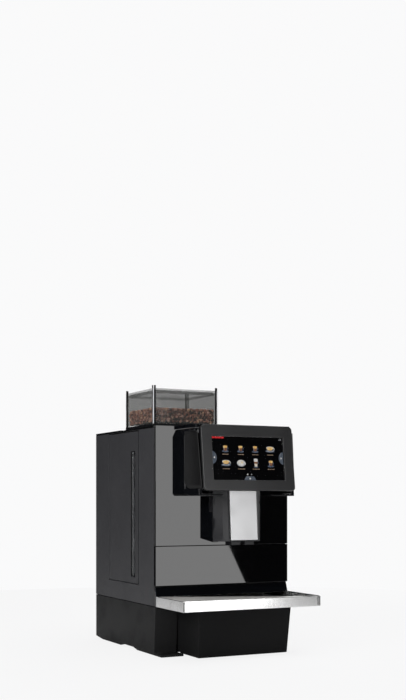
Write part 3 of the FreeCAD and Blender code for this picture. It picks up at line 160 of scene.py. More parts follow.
world = bpy.data.worlds.new("studio_room")
world.use_nodes = True
bpy.context.scene.world = world
room_nodes = world.node_tree.nodes
room_links = world.node_tree.links
room_nodes.clear()
seen = room_nodes.new("ShaderNodeBackground")
seen.inputs["Color"].default_value = ROOM_COLOUR
mirrored = room_nodes.new("ShaderNodeBackground")
mirrored.inputs["Color"].default_value = MIRRORED_COLOUR
chooser = room_nodes.new("ShaderNodeMixShader")
ray_kind = room_nodes.new("ShaderNodeLightPath")
room_out = room_nodes.new("ShaderNodeOutputWorld")
room_links.new(ray_kind.outputs["Is Camera Ray"], chooser.inputs["Fac"])
room_links.new(mirrored.outputs["Background"], chooser.inputs[1])
room_links.new(seen.outputs["Background"], chooser.inputs[2])
room_links.new(chooser.outputs["Shader"], room_out.inputs["Surface"])
print("world nodes:", len(room_nodes))

# %% [markdown]
# ## Studio: lights
# One tall softbox stands in front, to the right. Its slanted right edge is what draws the straight
# diagonal across the gloss door: to its left the door mirrors the box, to its right the dark room.
# The box has to be placed by geometry: mirror the camera in the door's plane, and a line from that
# mirrored camera through a point of the door ends at the point of the studio that is seen there.

# %% Softbox that the door mirrors
SOFTBOX_DISTANCE = 2.5
SOFTBOX_WIDTH = 1.15
SOFTBOX_HEIGHT = 2.1
SOFTBOX_RADIANCE = 4.3
GLARE_HIGH = Vector((-0.108, 0.4546))
GLARE_LOW = Vector((0.0494, 0.1394))


def mirrored_in_door(point):
    """Where the line of sight through a door point (x, z) ends in the softbox's plane, after the door."""
    mirror_camera = Vector((CAMERA_PLACE.x, 2.0 * FRONT - CAMERA_PLACE.y, CAMERA_PLACE.z))
    door_point = Vector((point.x, FRONT, point.y))
    reach = (-SOFTBOX_DISTANCE - mirror_camera.y) / (FRONT - mirror_camera.y)
    return mirror_camera + reach * (door_point - mirror_camera)


def softbox(name, place, aim, size, radiance, roll=0.0):
    """An area light that gives the same brightness all over its face."""
    data = bpy.data.lights.new(name, "AREA")
    data.shape = "RECTANGLE"
    data.size, data.size_y = size
    data.energy = radiance * math.pi * size[0] * size[1]
    light = bpy.data.objects.new(name, data)
    light.location = place
    towards = (Vector(aim) - Vector(place)).to_track_quat("-Z", "Y")
    light.rotation_euler = (towards.to_matrix() @ Matrix.Rotation(roll, 3, "Z")).to_euler()
    bpy.context.scene.collection.objects.link(light)
    return light


edge_high = mirrored_in_door(GLARE_HIGH)
edge_low = mirrored_in_door(GLARE_LOW)
edge_way = (edge_high - edge_low).normalized()
slant = math.atan2(-edge_way.x, edge_way.z)
edge_middle = (edge_high + edge_low) / 2.0
inward = Vector((-math.cos(slant), 0.0, -math.sin(slant)))
key_place = edge_middle + inward * SOFTBOX_WIDTH / 2.0
key = softbox("key_softbox", key_place, key_place + Vector((0.0, 1.0, 0.0)),
              (SOFTBOX_WIDTH, SOFTBOX_HEIGHT), SOFTBOX_RADIANCE, roll=slant)
key.visible_diffuse = False
print("key softbox at", [round(v, 3) for v in key_place], "slant", round(math.degrees(slant), 2))

# %% [markdown]
# The sides, the front, the top and the rear get their own large boxes. From the camera's place no
# flat gloss face mirrors them, so they shape the edges but leave the black faces black. The front
# one would show in the door, so glossy reflections leave it out.

# %% Fill lights
MACHINE_MIDDLE = (0.0, 0.06, 0.25)
MACHINE_CORE = (0.0, 0.0, 0.2)
FILL_LIGHTS = [  # name, place, aim, width and height, radiance
    ("side_fill", (-2.3, -1.15, 1.1), MACHINE_MIDDLE, (1.5, 1.5), 6.3),
    ("front_fill", (0.9, -2.4, 0.7), MACHINE_MIDDLE, (1.4, 1.6), 0.2),
    ("top_fill", (0.1, -0.5, 2.6), MACHINE_CORE, (2.0, 2.0), 3.2),
    ("rear_fill", (1.5, 2.3, 1.3), MACHINE_MIDDLE, (1.6, 1.6), 4.0),
    ("right_fill", (2.6, 0.2, 1.0), MACHINE_MIDDLE, (1.2, 1.6), 4.0),
]
fills = {row[0]: softbox(*row) for row in FILL_LIGHTS}
fills["front_fill"].visible_glossy = False
for light in (key, *fills.values()):
    light.visible_camera = False
print("fill lights:", len(fills))

# %% [markdown]
# ## Studio: floor
# A plain pale disc. It ends where the low steel band still mirrors it and the gloss door no longer
# does. Most of its white is light of its own, for the camera only, so that it runs into the white
# room with a soft shadow under the machine.

# %% Floor
FLOOR_RADIUS = 1.55
FLOOR_OWN_LIGHT = 0.9
FLOOR_PAINT = (0.8, 0.8, 0.8, 1.0)

floor_mesh = bpy.data.meshes.new("studio_floor")
floor_shape = bmesh.new()
bmesh.ops.create_circle(floor_shape, cap_ends=True, segments=128, radius=FLOOR_RADIUS)
floor_shape.to_mesh(floor_mesh)
floor_shape.free()
floor = bpy.data.objects.new("studio_floor", floor_mesh)
bpy.context.scene.collection.objects.link(floor)
floor_paint = bpy.data.materials.new("studio_floor")
floor_paint.use_nodes = True
floor_nodes = floor_paint.node_tree.nodes
floor_links = floor_paint.node_tree.links
floor_nodes.clear()
floor_matt = floor_nodes.new("ShaderNodeBsdfDiffuse")
floor_matt.inputs["Color"].default_value = FLOOR_PAINT
floor_glow = floor_nodes.new("ShaderNodeEmission")
floor_glow.inputs["Color"].default_value = ROOM_COLOUR
floor_mix = floor_nodes.new("ShaderNodeMixShader")
floor_ray = floor_nodes.new("ShaderNodeLightPath")
floor_share = floor_nodes.new("ShaderNodeMath")
floor_share.operation = "MULTIPLY"
floor_share.inputs[1].default_value = FLOOR_OWN_LIGHT
floor_out = floor_nodes.new("ShaderNodeOutputMaterial")
floor_links.new(floor_ray.outputs["Is Camera Ray"], floor_share.inputs[0])
floor_links.new(floor_share.outputs["Value"], floor_mix.inputs["Fac"])
floor_links.new(floor_matt.outputs["BSDF"], floor_mix.inputs[1])
floor_links.new(floor_glow.outputs["Emission"], floor_mix.inputs[2])
floor_links.new(floor_mix.outputs["Shader"], floor_out.inputs["Surface"])
floor_mesh.materials.append(floor_paint)
floor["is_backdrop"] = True
print("floor radius", FLOOR_RADIUS)

# %% [markdown]
# ## Shader groups
# Five effects come back in many finishes: moulded grain, hand marks, worn edges, brushed lines and
# settled dust. Each is a node group with named inputs, built once. A group only gives out values
# that change over the surface; the shader itself stays in each material.

# %% Helpers for node groups


def new_group(name, inputs, outputs):
    """An empty shader group with float or vector inputs (name: default) and float outputs."""
    tree = bpy.data.node_groups.new(name, "ShaderNodeTree")
    for label, default in inputs.items():
        kind = "NodeSocketVector" if isinstance(default, tuple) else "NodeSocketFloat"
        socket = tree.interface.new_socket(name=label, in_out="INPUT", socket_type=kind)
        socket.default_value = default
    for label in outputs:
        tree.interface.new_socket(name=label, in_out="OUTPUT", socket_type="NodeSocketFloat")
    return tree, tree.nodes.new("NodeGroupInput"), tree.nodes.new("NodeGroupOutput")


def math_node(tree, operation, first, second=None, clamp=False):
    """A Math node; each input is a socket or a number. Gives its output socket."""
    node = tree.nodes.new("ShaderNodeMath")
    node.operation = operation
    node.use_clamp = clamp
    for index, value in enumerate((first, second)):
        if value is None:
            continue
        if isinstance(value, (int, float)):
            node.inputs[index].default_value = value
        else:
            tree.links.new(value, node.inputs[index])
    return node.outputs["Value"]


def noise_node(tree, vector, scale, detail=2.0, roughness=0.5):
    """A Noise texture's Fac output."""
    node = tree.nodes.new("ShaderNodeTexNoise")
    node.inputs["Detail"].default_value = detail
    node.inputs["Roughness"].default_value = roughness
    tree.links.new(vector, node.inputs["Vector"])
    if isinstance(scale, (int, float)):
        node.inputs["Scale"].default_value = scale
    else:
        tree.links.new(scale, node.inputs["Scale"])
    return node.outputs["Fac"]


def ramp_between(tree, value, low, high):
    """0 below low, 1 above high, smooth between."""
    node = tree.nodes.new("ShaderNodeMapRange")
    node.interpolation_type = "SMOOTHSTEP"
    node.inputs["From Min"].default_value = low
    node.inputs["From Max"].default_value = high
    tree.links.new(value, node.inputs["Value"])
    return node.outputs["Result"]


print("group helpers ready")

# %% [markdown]
# **Moulded grain** is the fine pebble pattern that a spark-eroded mould leaves on plastic, and that
# powder coat has by itself. Two textures of different size keep it from looking regular.

# %% Moulded grain
grain, grain_in, grain_out = new_group("moulded_grain", {"Pebbles per metre": 1400.0}, ["Height", "Tone"])
grain_place = grain.nodes.new("ShaderNodeTexCoord")
pebbles = grain.nodes.new("ShaderNodeTexVoronoi")
pebbles.feature = "SMOOTH_F1"
grain.links.new(grain_place.outputs["Object"], pebbles.inputs["Vector"])
grain.links.new(grain_in.outputs["Pebbles per metre"], pebbles.inputs["Scale"])
fine = noise_node(grain, grain_place.outputs["Object"], grain_in.outputs["Pebbles per metre"], 3.0)
grain_sum = math_node(grain, "MULTIPLY", math_node(grain, "ADD", pebbles.outputs["Distance"], fine), 0.5)
cloud = noise_node(grain, grain_place.outputs["Object"], 9.0, 3.0)
grain.links.new(grain_sum, grain_out.inputs["Height"])
grain.links.new(cloud, grain_out.inputs["Tone"])
print("group", grain.name)

# %% [markdown]
# **Hand marks** are the faint smears that a cloth and fingers leave. They change only how sharp the
# reflection is, so they show in the highlights and nowhere else.

# %% Hand marks
marks, marks_in, marks_out = new_group(
    "hand_marks", {"Clean": 0.08, "Marked": 0.2, "Marks per metre": 14.0}, ["Roughness", "Mask"])
marks_place = marks.nodes.new("ShaderNodeTexCoord")
smear = noise_node(marks, marks_place.outputs["Object"], marks_in.outputs["Marks per metre"], 5.0, 0.62)
smear_mask = ramp_between(marks, smear, 0.46, 0.72)
smear_gap = math_node(marks, "SUBTRACT", marks_in.outputs["Marked"], marks_in.outputs["Clean"])
smear_add = math_node(marks, "MULTIPLY", smear_gap, smear_mask)
smear_rough = math_node(marks, "ADD", marks_in.outputs["Clean"], smear_add)
marks.links.new(smear_rough, marks_out.inputs["Roughness"])
marks.links.new(smear_mask, marks_out.inputs["Mask"])
print("group", marks.name)

# %% [markdown]
# **Worn edges**: the Bevel node gives the normal that the surface would have with softer edges.
# Where it differs from the true normal there is an edge, and noise breaks the line into patches.

# %% Worn edges
worn, worn_in, worn_out = new_group("worn_edges", {"Reach": 0.0012, "Amount": 0.5}, ["Mask"])
worn_place = worn.nodes.new("ShaderNodeTexCoord")
soft_normal = worn.nodes.new("ShaderNodeBevel")
soft_normal.samples = 4
worn.links.new(worn_in.outputs["Reach"], soft_normal.inputs["Radius"])
true_normal = worn.nodes.new("ShaderNodeNewGeometry")
agreement = worn.nodes.new("ShaderNodeVectorMath")
agreement.operation = "DOT_PRODUCT"
worn.links.new(soft_normal.outputs["Normal"], agreement.inputs[0])
worn.links.new(true_normal.outputs["Normal"], agreement.inputs[1])
edge_amount = math_node(worn, "SUBTRACT", 1.0, agreement.outputs["Value"])
edge_mask = ramp_between(worn, edge_amount, 0.02, 0.22)
patches = ramp_between(worn, noise_node(worn, worn_place.outputs["Object"], 60.0, 4.0), 0.4, 0.65)
patchy = math_node(worn, "MULTIPLY", edge_mask, patches)
worn_mask = math_node(worn, "MULTIPLY", patchy, worn_in.outputs["Amount"], clamp=True)
worn.links.new(worn_mask, worn_out.inputs["Mask"])
print("group", worn.name)

# %% [markdown]
# **Brushed lines**: noise squeezed along two axes and stretched along the third becomes the fine
# parallel scratches that a belt leaves on sheet metal.

# %% Brushed lines
brushed, brushed_in, brushed_out = new_group(
    "brushed_lines", {"Lines per metre": (20.0, 2200.0, 2200.0)}, ["Height", "Tone"])
brushed_place = brushed.nodes.new("ShaderNodeTexCoord")
squeeze = brushed.nodes.new("ShaderNodeVectorMath")
squeeze.operation = "MULTIPLY"
brushed.links.new(brushed_place.outputs["Object"], squeeze.inputs[0])
brushed.links.new(brushed_in.outputs["Lines per metre"], squeeze.inputs[1])
scratches = noise_node(brushed, squeeze.outputs["Vector"], 1.0, 4.0, 0.6)
wide_tone = noise_node(brushed, brushed_place.outputs["Object"], 12.0, 2.0)
brushed.links.new(scratches, brushed_out.inputs["Height"])
brushed.links.new(wide_tone, brushed_out.inputs["Tone"])
print("group", brushed.name)

# %% [markdown]
# **Settled dust** lies only on faces that look up, in soft patches.

# %% Settled dust
dust, dust_in, dust_out = new_group("settled_dust", {"Amount": 0.1}, ["Mask"])
dust_place = dust.nodes.new("ShaderNodeTexCoord")
dust_normal = dust.nodes.new("ShaderNodeNewGeometry")
dust_split = dust.nodes.new("ShaderNodeSeparateXYZ")
dust.links.new(dust_normal.outputs["Normal"], dust_split.inputs["Vector"])
facing_up = ramp_between(dust, dust_split.outputs["Z"], 0.75, 0.98)
dust_cloud = ramp_between(dust, noise_node(dust, dust_place.outputs["Object"], 35.0, 6.0, 0.65), 0.38, 0.7)
dust_patch = math_node(dust, "MULTIPLY", facing_up, dust_cloud)
dust_mask = math_node(dust, "MULTIPLY", dust_patch, dust_in.outputs["Amount"], clamp=True)
dust.links.new(dust_mask, dust_out.inputs["Mask"])
print("group", dust.name)

# %% [markdown]
# ## Recipes for finishes
# Three recipes cover most of the machine: something moulded or painted, something of bare metal,
# and something clear. Each takes the numbers that make one finish differ from another and places
# the groups with them. A finish that needs more gets it after its recipe.

# %% Helpers for materials


def new_finish(name):
    """A material with a lone Principled shader. Gives the material, its tree and its shader."""
    finish = bpy.data.materials.new(name)
    finish.use_nodes = True
    return finish, finish.node_tree, finish.node_tree.nodes["Principled BSDF"]


def placed(tree, group, **values):
    """A group node in a material, with its input values set."""
    node = tree.nodes.new("ShaderNodeGroup")
    node.node_tree = group
    for label, value in values.items():
        node.inputs[label.replace("_", " ")].default_value = value
    return node


def mixed(tree, mask, under, over):
    """A colour mix; under and over are colours or sockets."""
    node = tree.nodes.new("ShaderNodeMix")
    node.data_type = "RGBA"
    tree.links.new(mask, node.inputs["Factor"])
    for label, value in (("A", under), ("B", over)):
        socket = [s for s in node.inputs if s.name == label and s.type == "RGBA"][0]
        if isinstance(value, tuple):
            socket.default_value = (*value, 1.0)
        else:
            tree.links.new(value, socket)
    return [s for s in node.outputs if s.type == "RGBA"][0]


def bumped(tree, shader, height, strength, depth):
    """A Bump node from a height socket into the shader's Normal."""
    node = tree.nodes.new("ShaderNodeBump")
    node.inputs["Strength"].default_value = strength
    node.inputs["Distance"].default_value = depth
    tree.links.new(height, node.inputs["Height"])
    tree.links.new(node.outputs["Normal"], shader.inputs["Normal"])


def moulded(name, dark, light, clean, marked, pebbles=1400.0, depth=0.0, specular=0.5, wear=0.3,
            worn_colour=(0.12, 0.12, 0.12), dusty=0.05):
    """Moulded plastic or paint: clouded colour, grain, hand marks, worn edges and a little dust."""
    finish, tree, shader = new_finish(name)
    grain_node = placed(tree, grain, Pebbles_per_metre=pebbles)
    marks_node = placed(tree, marks, Clean=clean, Marked=marked)
    worn_node = placed(tree, worn, Amount=wear)
    dust_node = placed(tree, dust, Amount=dusty)
    body_colour = mixed(tree, grain_node.outputs["Tone"], dark, light)
    edged = mixed(tree, worn_node.outputs["Mask"], body_colour, worn_colour)
    dusted = mixed(tree, dust_node.outputs["Mask"], edged, (0.42, 0.40, 0.37))
    tree.links.new(dusted, shader.inputs["Base Color"])
    tree.links.new(marks_node.outputs["Roughness"], shader.inputs["Roughness"])
    shader.inputs["Specular IOR Level"].default_value = specular
    if depth:
        bumped(tree, shader, grain_node.outputs["Height"], 0.6, depth)
    return finish


def bare_metal(name, dark, light, clean, marked, lines=(20.0, 2200.0, 2200.0), depth=0.00004,
               wear=0.2, worn_colour=(0.9, 0.9, 0.9), dusty=0.04, metallic=1.0):
    """Bare or plated metal with brushed lines, clouded tone and hand marks."""
    finish, tree, shader = new_finish(name)
    lines_node = placed(tree, brushed, Lines_per_metre=lines)
    marks_node = placed(tree, marks, Clean=clean, Marked=marked, Marks_per_metre=22.0)
    worn_node = placed(tree, worn, Amount=wear)
    dust_node = placed(tree, dust, Amount=dusty)
    sheet_colour = mixed(tree, lines_node.outputs["Tone"], dark, light)
    edged = mixed(tree, worn_node.outputs["Mask"], sheet_colour, worn_colour)
    dusted = mixed(tree, dust_node.outputs["Mask"], edged, (0.5, 0.48, 0.45))
    tree.links.new(dusted, shader.inputs["Base Color"])
    tree.links.new(marks_node.outputs["Roughness"], shader.inputs["Roughness"])
    shader.inputs["Metallic"].default_value = metallic
    bumped(tree, shader, lines_node.outputs["Height"], 0.5, depth)
    return finish


def clear(name, tint, thin, clean, marked, dusty=0.05, specular=0.5):
    """Thin clear plastic: mostly see-through, with reflections and a tint of its own."""
    finish, tree, shader = new_finish(name)
    marks_node = placed(tree, marks, Clean=clean, Marked=marked)
    dust_node = placed(tree, dust, Amount=dusty)
    hazed = mixed(tree, dust_node.outputs["Mask"], tint, (0.5, 0.5, 0.5))
    tree.links.new(hazed, shader.inputs["Base Color"])
    tree.links.new(marks_node.outputs["Roughness"], shader.inputs["Roughness"])
    shader.inputs["Alpha"].default_value = thin
    shader.inputs["Specular IOR Level"].default_value = specular
    return finish


print("recipes ready")

# %% [markdown]
# ## Plastics and paints
# The machine is almost all black, so the blacks have to differ: gloss door, gloss head, fine-matt
# scoops, satin anthracite bezel, textured side panels. The difference lies in grain and roughness
# more than in colour.

# %% Black plastics and paints
side_paint = moulded("side_powder_coat", (0.034, 0.034, 0.037), (0.050, 0.050, 0.054), 0.5, 0.6,
                     pebbles=900.0, depth=0.0002, specular=0.35, wear=0.35)
base_plastic = moulded("base_satin_plastic", (0.013, 0.013, 0.0135), (0.019, 0.019, 0.0195), 0.42, 0.52,
                       pebbles=1100.0, depth=0.00008, specular=0.08, wear=0.25)
gloss_black = moulded("gloss_black_panel", (0.0012, 0.0012, 0.0014), (0.002, 0.002, 0.0022), 0.018, 0.05,
                      wear=0.1, worn_colour=(0.03, 0.03, 0.03), dusty=0.03)
head_gloss = moulded("head_gloss_black", (0.003, 0.0034, 0.0045), (0.0045, 0.005, 0.0065), 0.12, 0.2,
                     specular=0.25, wear=0.15, worn_colour=(0.06, 0.06, 0.065), dusty=0.04)
scoop_matt = moulded("scoop_fine_matt", (0.009, 0.009, 0.0095), (0.013, 0.013, 0.0135), 0.5, 0.58,
                     pebbles=1600.0, depth=0.00006, specular=0.3, wear=0.2)
bezel_satin = moulded("bezel_satin_anthracite", (0.019, 0.019, 0.020), (0.025, 0.025, 0.026), 0.3, 0.4,
                      pebbles=1800.0, depth=0.00003, specular=0.4, wear=0.35)
spout_satin = moulded("spout_satin_gray", (0.015, 0.015, 0.017), (0.021, 0.021, 0.024), 0.36, 0.46,
                      pebbles=1500.0, depth=0.00004, specular=0.25, wear=0.45)
# The tray's worn edges are a bluish grey: partly wear, partly a painted highlight along its rims.
tray_gloss = moulded("tray_gloss_black", (0.002, 0.0025, 0.0035), (0.0035, 0.004, 0.0055), 0.05, 0.12,
                     wear=0.6, worn_colour=(0.06, 0.075, 0.10), dusty=0.05)
tub_satin = moulded("tub_satin_black", (0.009, 0.009, 0.0094), (0.014, 0.014, 0.0145), 0.4, 0.5,
                    pebbles=1200.0, depth=0.00004, specular=0.06, wear=0.35)
inner_black = moulded("inner_matt_black", (0.018, 0.018, 0.018), (0.032, 0.032, 0.032), 0.5, 0.62,
                      pebbles=1000.0, depth=0.00012, wear=0.2)
rear_paint = moulded("rear_satin_paint", (0.024, 0.024, 0.025), (0.034, 0.034, 0.035), 0.4, 0.5,
                     pebbles=1000.0, depth=0.0001, wear=0.35)
hopper_black = moulded("hopper_trim_black", (0.004, 0.004, 0.005), (0.008, 0.008, 0.009), 0.3, 0.4,
                       specular=0.04, wear=0.1, dusty=0.03)
foot_rubber = moulded("foot_rubber", (0.012, 0.012, 0.012), (0.024, 0.023, 0.022), 0.75, 0.85,
                      pebbles=700.0, depth=0.00015, wear=0.2, dusty=0.2)
inlet_plastic = moulded("inlet_matt_black", (0.01, 0.01, 0.01), (0.018, 0.018, 0.018), 0.45, 0.55,
                        pebbles=1300.0, depth=0.00006, wear=0.3)
white_plastic = moulded("inner_white_plastic", (0.52, 0.52, 0.5), (0.62, 0.62, 0.6), 0.35, 0.45,
                        pebbles=1200.0, depth=0.00004, wear=0.1, worn_colour=(0.7, 0.7, 0.68), dusty=0.12)
board_green = moulded("board_solder_mask", (0.012, 0.09, 0.035), (0.02, 0.13, 0.05), 0.25, 0.32,
                      pebbles=420.0, depth=0.00006, wear=0.2, worn_colour=(0.5, 0.35, 0.12), dusty=0.15)
pipe_silicone = moulded("pipe_silicone", (0.62, 0.62, 0.58), (0.74, 0.74, 0.7), 0.35, 0.5,
                        pebbles=800.0, depth=0.00005, wear=0.05, worn_colour=(0.8, 0.8, 0.78), dusty=0.08)
print("finishes with plastics and paints:", len(bpy.data.materials))

# %% [markdown]
# The matt cheeks of the head go from dark grey at the rear to nearly black at the front. Part of
# that is light, which they turn away from; the rest is painted shade, a blend in the colour along
# the machine's depth. The Object coordinates give each point's place, and their Y is that depth.

# %% Painted shade on the cheeks
CHEEK_PAINTED_SHADE = (0.003, 0.003, 0.0033)
PAINTED_SHADE_FRONT = FRONT - 112.0 * MM
PAINTED_SHADE_REAR = FRONT - 55.0 * MM

scoop_tree = scoop_matt.node_tree
scoop_shader = scoop_tree.nodes["Principled BSDF"]
scoop_place = scoop_tree.nodes.new("ShaderNodeTexCoord")
scoop_axes = scoop_tree.nodes.new("ShaderNodeSeparateXYZ")
scoop_tree.links.new(scoop_place.outputs["Object"], scoop_axes.inputs["Vector"])
painted_shade_ramp = ramp_between(scoop_tree, scoop_axes.outputs["Y"], PAINTED_SHADE_FRONT, PAINTED_SHADE_REAR)
rear_colour = scoop_shader.inputs["Base Color"].links[0].from_socket
# Painted shade: the cheek colour blends to near-black towards the front.
shaded_cheek_colour = mixed(scoop_tree, painted_shade_ramp, CHEEK_PAINTED_SHADE, rear_colour)
scoop_tree.links.new(shaded_cheek_colour, scoop_shader.inputs["Base Color"])
print("cheeks fade over", round(PAINTED_SHADE_REAR - PAINTED_SHADE_FRONT, 4))

# %% [markdown]
# ## Metals
# Stainless is brushed along the long side of each sheet. The grounds side of the machine has brass
# and machined steel, and the frame behind it all is zinc-plated sheet.

# %% Metals
band_steel = bare_metal("band_brushed_steel", (0.80, 0.80, 0.80), (0.90, 0.90, 0.895), 0.2, 0.27,
                        lines=(14.0, 2600.0, 2600.0), depth=0.00002)
grate_steel = bare_metal("grate_brushed_steel", (0.54, 0.53, 0.51), (0.66, 0.65, 0.63), 0.42, 0.52,
                         lines=(12.0, 1500.0, 1500.0), depth=0.00003, metallic=0.35)
silver_plate = bare_metal("silver_satin_plate", (0.50, 0.50, 0.505), (0.58, 0.58, 0.585), 0.42, 0.5,
                          lines=(2400.0, 2400.0, 16.0), depth=0.00002)
zinc_sheet = bare_metal("zinc_plated_sheet", (0.42, 0.43, 0.44), (0.58, 0.59, 0.6), 0.34, 0.5,
                        lines=(300.0, 300.0, 300.0), depth=0.00003, dusty=0.12)
cast_aluminium = bare_metal("cast_aluminium", (0.42, 0.42, 0.42), (0.52, 0.52, 0.52), 0.5, 0.62,
                            lines=(900.0, 900.0, 900.0), depth=0.00012, dusty=0.2)
burr_steel = bare_metal("burr_hard_steel", (0.24, 0.24, 0.25), (0.34, 0.34, 0.35), 0.3, 0.4,
                        lines=(900.0, 900.0, 900.0), wear=0.6)
machined_steel = bare_metal("machined_steel", (0.55, 0.55, 0.56), (0.66, 0.66, 0.67), 0.18, 0.3,
                            lines=(60.0, 60.0, 3000.0), depth=0.00003)
chamber_brass = bare_metal("chamber_brass", (0.58, 0.42, 0.17), (0.68, 0.5, 0.24), 0.25, 0.4,
                           lines=(60.0, 60.0, 2400.0), depth=0.00003, worn_colour=(0.8, 0.66, 0.4))
boiler_steel = bare_metal("boiler_brushed_steel", (0.5, 0.5, 0.5), (0.64, 0.63, 0.61), 0.28, 0.4,
                          lines=(2000.0, 2000.0, 30.0), depth=0.00003)
screw_oxide = bare_metal("screw_black_oxide", (0.05, 0.05, 0.05), (0.09, 0.09, 0.09), 0.35, 0.5,
                         lines=(700.0, 700.0, 700.0), wear=0.6, worn_colour=(0.4, 0.4, 0.4))
print("finishes with metals:", len(bpy.data.materials))

# %% [markdown]
# ## Clear pieces
# The hopper is thin smoked plastic. Thin sheets barely bend light, so each wall simply lets part of
# it through and keeps its own reflection. The tank is clearer, and the screen's cover glass is the
# clearest of the three.

# %% Clear pieces
hopper_smoke = clear("hopper_smoked_plastic", (0.085, 0.088, 0.083), 0.385, 0.05, 0.12, specular=0.12)
screen_glass = clear("screen_cover_glass", (0.002, 0.002, 0.0025), 0.2, 0.03, 0.07, dusty=0.01)
tank_clear = clear("tank_clear_plastic", (0.55, 0.6, 0.62), 0.3, 0.06, 0.14)
print("finishes with clear ones:", len(bpy.data.materials))

# %% [markdown]
# ## Softened CAD pieces
# CAD edges are mathematically sharp, and no real edge is: a moulding, a casting and a folded sheet
# all catch a thin line of light along each edge. So each CAD node is copied, its triangles joined
# back into whole faces, and a Bevel modifier rounds its edges by what its maker would leave:
# 0.3 to 0.5 mm on most sheet metal, about 1 mm on mouldings. The copy stands in for its node and
# rides with it.

# %% Helpers for pieces
SAME_POINT = 0.000002
FLAT_ENOUGH = math.radians(0.4)
SHARP = math.radians(32.0)


def softened(piece, width, segments=2):
    """Smooth shading with crisp edges, and a Bevel modifier on those edges."""
    piece.data.shade_smooth()
    piece.data.set_sharp_from_angle(angle=SHARP)
    if width:
        bevel = piece.modifiers.new("rounded_edges", "BEVEL")
        bevel.width = width
        bevel.segments = segments
        bevel.limit_method = "ANGLE"
        bevel.angle_limit = SHARP
        bevel.use_clamp_overlap = False
        bevel.harden_normals = True


def made(name, shape, body, finish, width=0.0, segments=2, slot=None):
    """A new piece from a bmesh, softened, finished and riding on a body."""
    mesh = bpy.data.meshes.new(name)
    bmesh.ops.recalc_face_normals(shape, faces=shape.faces)
    shape.to_mesh(mesh)
    shape.free()
    piece = bpy.data.objects.new(name, mesh)
    bpy.context.scene.collection.objects.link(piece)
    for one in finish if isinstance(finish, (list, tuple)) else [finish]:
        mesh.materials.append(one)
    softened(piece, width, segments)
    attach(piece, body)
    return piece


def whole_faces(node):
    """A bmesh of a CAD node with its triangles joined back into flat faces."""
    shape = bmesh.new()
    shape.from_mesh(frame["nodes"][node].data)
    for layer in list(shape.loops.layers.uv):
        shape.loops.layers.uv.remove(layer)
    bmesh.ops.remove_doubles(shape, verts=shape.verts, dist=SAME_POINT)
    bmesh.ops.dissolve_limit(shape, angle_limit=FLAT_ENOUGH, verts=shape.verts, edges=shape.edges)
    return shape


def dressed(node, width, finish, name, segments=2, slot=None):
    """A softened copy that stands in for a CAD node."""
    piece = made(name, whole_faces(node), body_of_node[node], finish, width, segments, slot)
    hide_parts(node)
    return piece


print("piece helpers ready")

# %% [markdown]
# ### Casing, door and head
# Big panels first. The side panels and the tank's face are powder-coated sheet, the door and the
# drawer front are one glossy surface, split by a hairline.

# %% Casing, door and head pieces
CASING = [  # CAD node, edge radius, finish, name, slot
    ("base_shell", 0.0012, base_plastic, "base_moulding", "base_satin"),
    ("left_panel", 0.0005, side_paint, "side_sheet_left", "side_textured"),
    ("right_panel", 0.0005, side_paint, "side_sheet_right", "side_textured"),
    ("tank_face", 0.0012, side_paint, "tank_front_sheet", "side_textured"),
    ("rear_panel", 0.0004, rear_paint, "rear_sheet", "rear_black"),
    ("top_cover", 0.0009, gloss_black, "top_moulding", "gloss_black"),
    ("powder_lid", 0.0008, gloss_black, "powder_flap", "gloss_black"),
    ("door_pane", 0.0006, gloss_black, "door_gloss_pane", "gloss_black"),
    ("drawer_panel", 0.0006, gloss_black, "drawer_gloss_front", "gloss_black"),
    ("head_housing", 0.0012, head_gloss, "head_moulding", "head_black"),
    ("head_cap", 0.0010, head_gloss, "head_top_moulding", "head_black"),
    ("display_bezel", 0.0011, bezel_satin, "bezel_moulding", "bezel_gray"),
    ("display_case", 0.0010, head_gloss, "display_back_shell", "head_black"),
    ("spout_column", 0.0010, head_gloss, "spout_guide_column", "head_black"),
    ("spout_body", 0.0010, spout_satin, "spout_moulding", "spout_gray"),
    ("spout_cover", 0.0008, silver_plate, "spout_silver_cover", "silver_plate"),
    ("spout_nozzles", 0.0006, spout_satin, "spout_outlets", "spout_gray"),
]
casing = {node: dressed(node, width, finish, name, 3, slot)
          for node, width, finish, name, slot in CASING}
print("casing pieces:", len(casing))

# %% [markdown]
# The tank is pulled out by a long slot in its sheet. The side's paint covers the rim of the slot,
# and the inside is painted near-black as painted shade for the deep recess. A plane cuts the piece
# a few millimetres in, and the faces behind it get a second finish: the border is then a clean line,
# which a mask in one finish wouldn't give. The rounded edges of the sheet take the black too, as
# painted shadow lines round its outline.

# %% Painted shade inside the grip
PAINTED_RIM = 5.0 * MM

grip_face = casing["tank_face"]
sprayed = bmesh.new()
sprayed.from_mesh(grip_face.data)
rim_x = -HALF_WIDTH + PAINTED_RIM
bmesh.ops.bisect_plane(sprayed, geom=list(sprayed.verts) + list(sprayed.edges) + list(sprayed.faces),
                       plane_co=(rim_x, 0.0, 0.0), plane_no=(1.0, 0.0, 0.0))
for face in sprayed.faces:
    face.material_index = int(face.calc_center_median().x > rim_x)
sprayed.to_mesh(grip_face.data)
sprayed.free()
# Painted shade: near-black for the inside of the slot and for the sheet's rounded edges.
grip_painted_shade = moulded("grip_inside_painted_shade", (0.002, 0.002, 0.0022), (0.0035, 0.0035, 0.004), 0.6, 0.7,
                    specular=0.15, wear=0.0, dusty=0.02)
grip_face.data.materials.append(grip_painted_shade)
grip_face.modifiers["rounded_edges"].material = 1
print("grip inside darker than", round(rim_x, 4))

# %% [markdown]
# ### Tray, hopper and inside
# The rest of the CAD nodes follow the same way. The inner parts show when the door swings open, the
# tank slides out or the drawer is pulled.

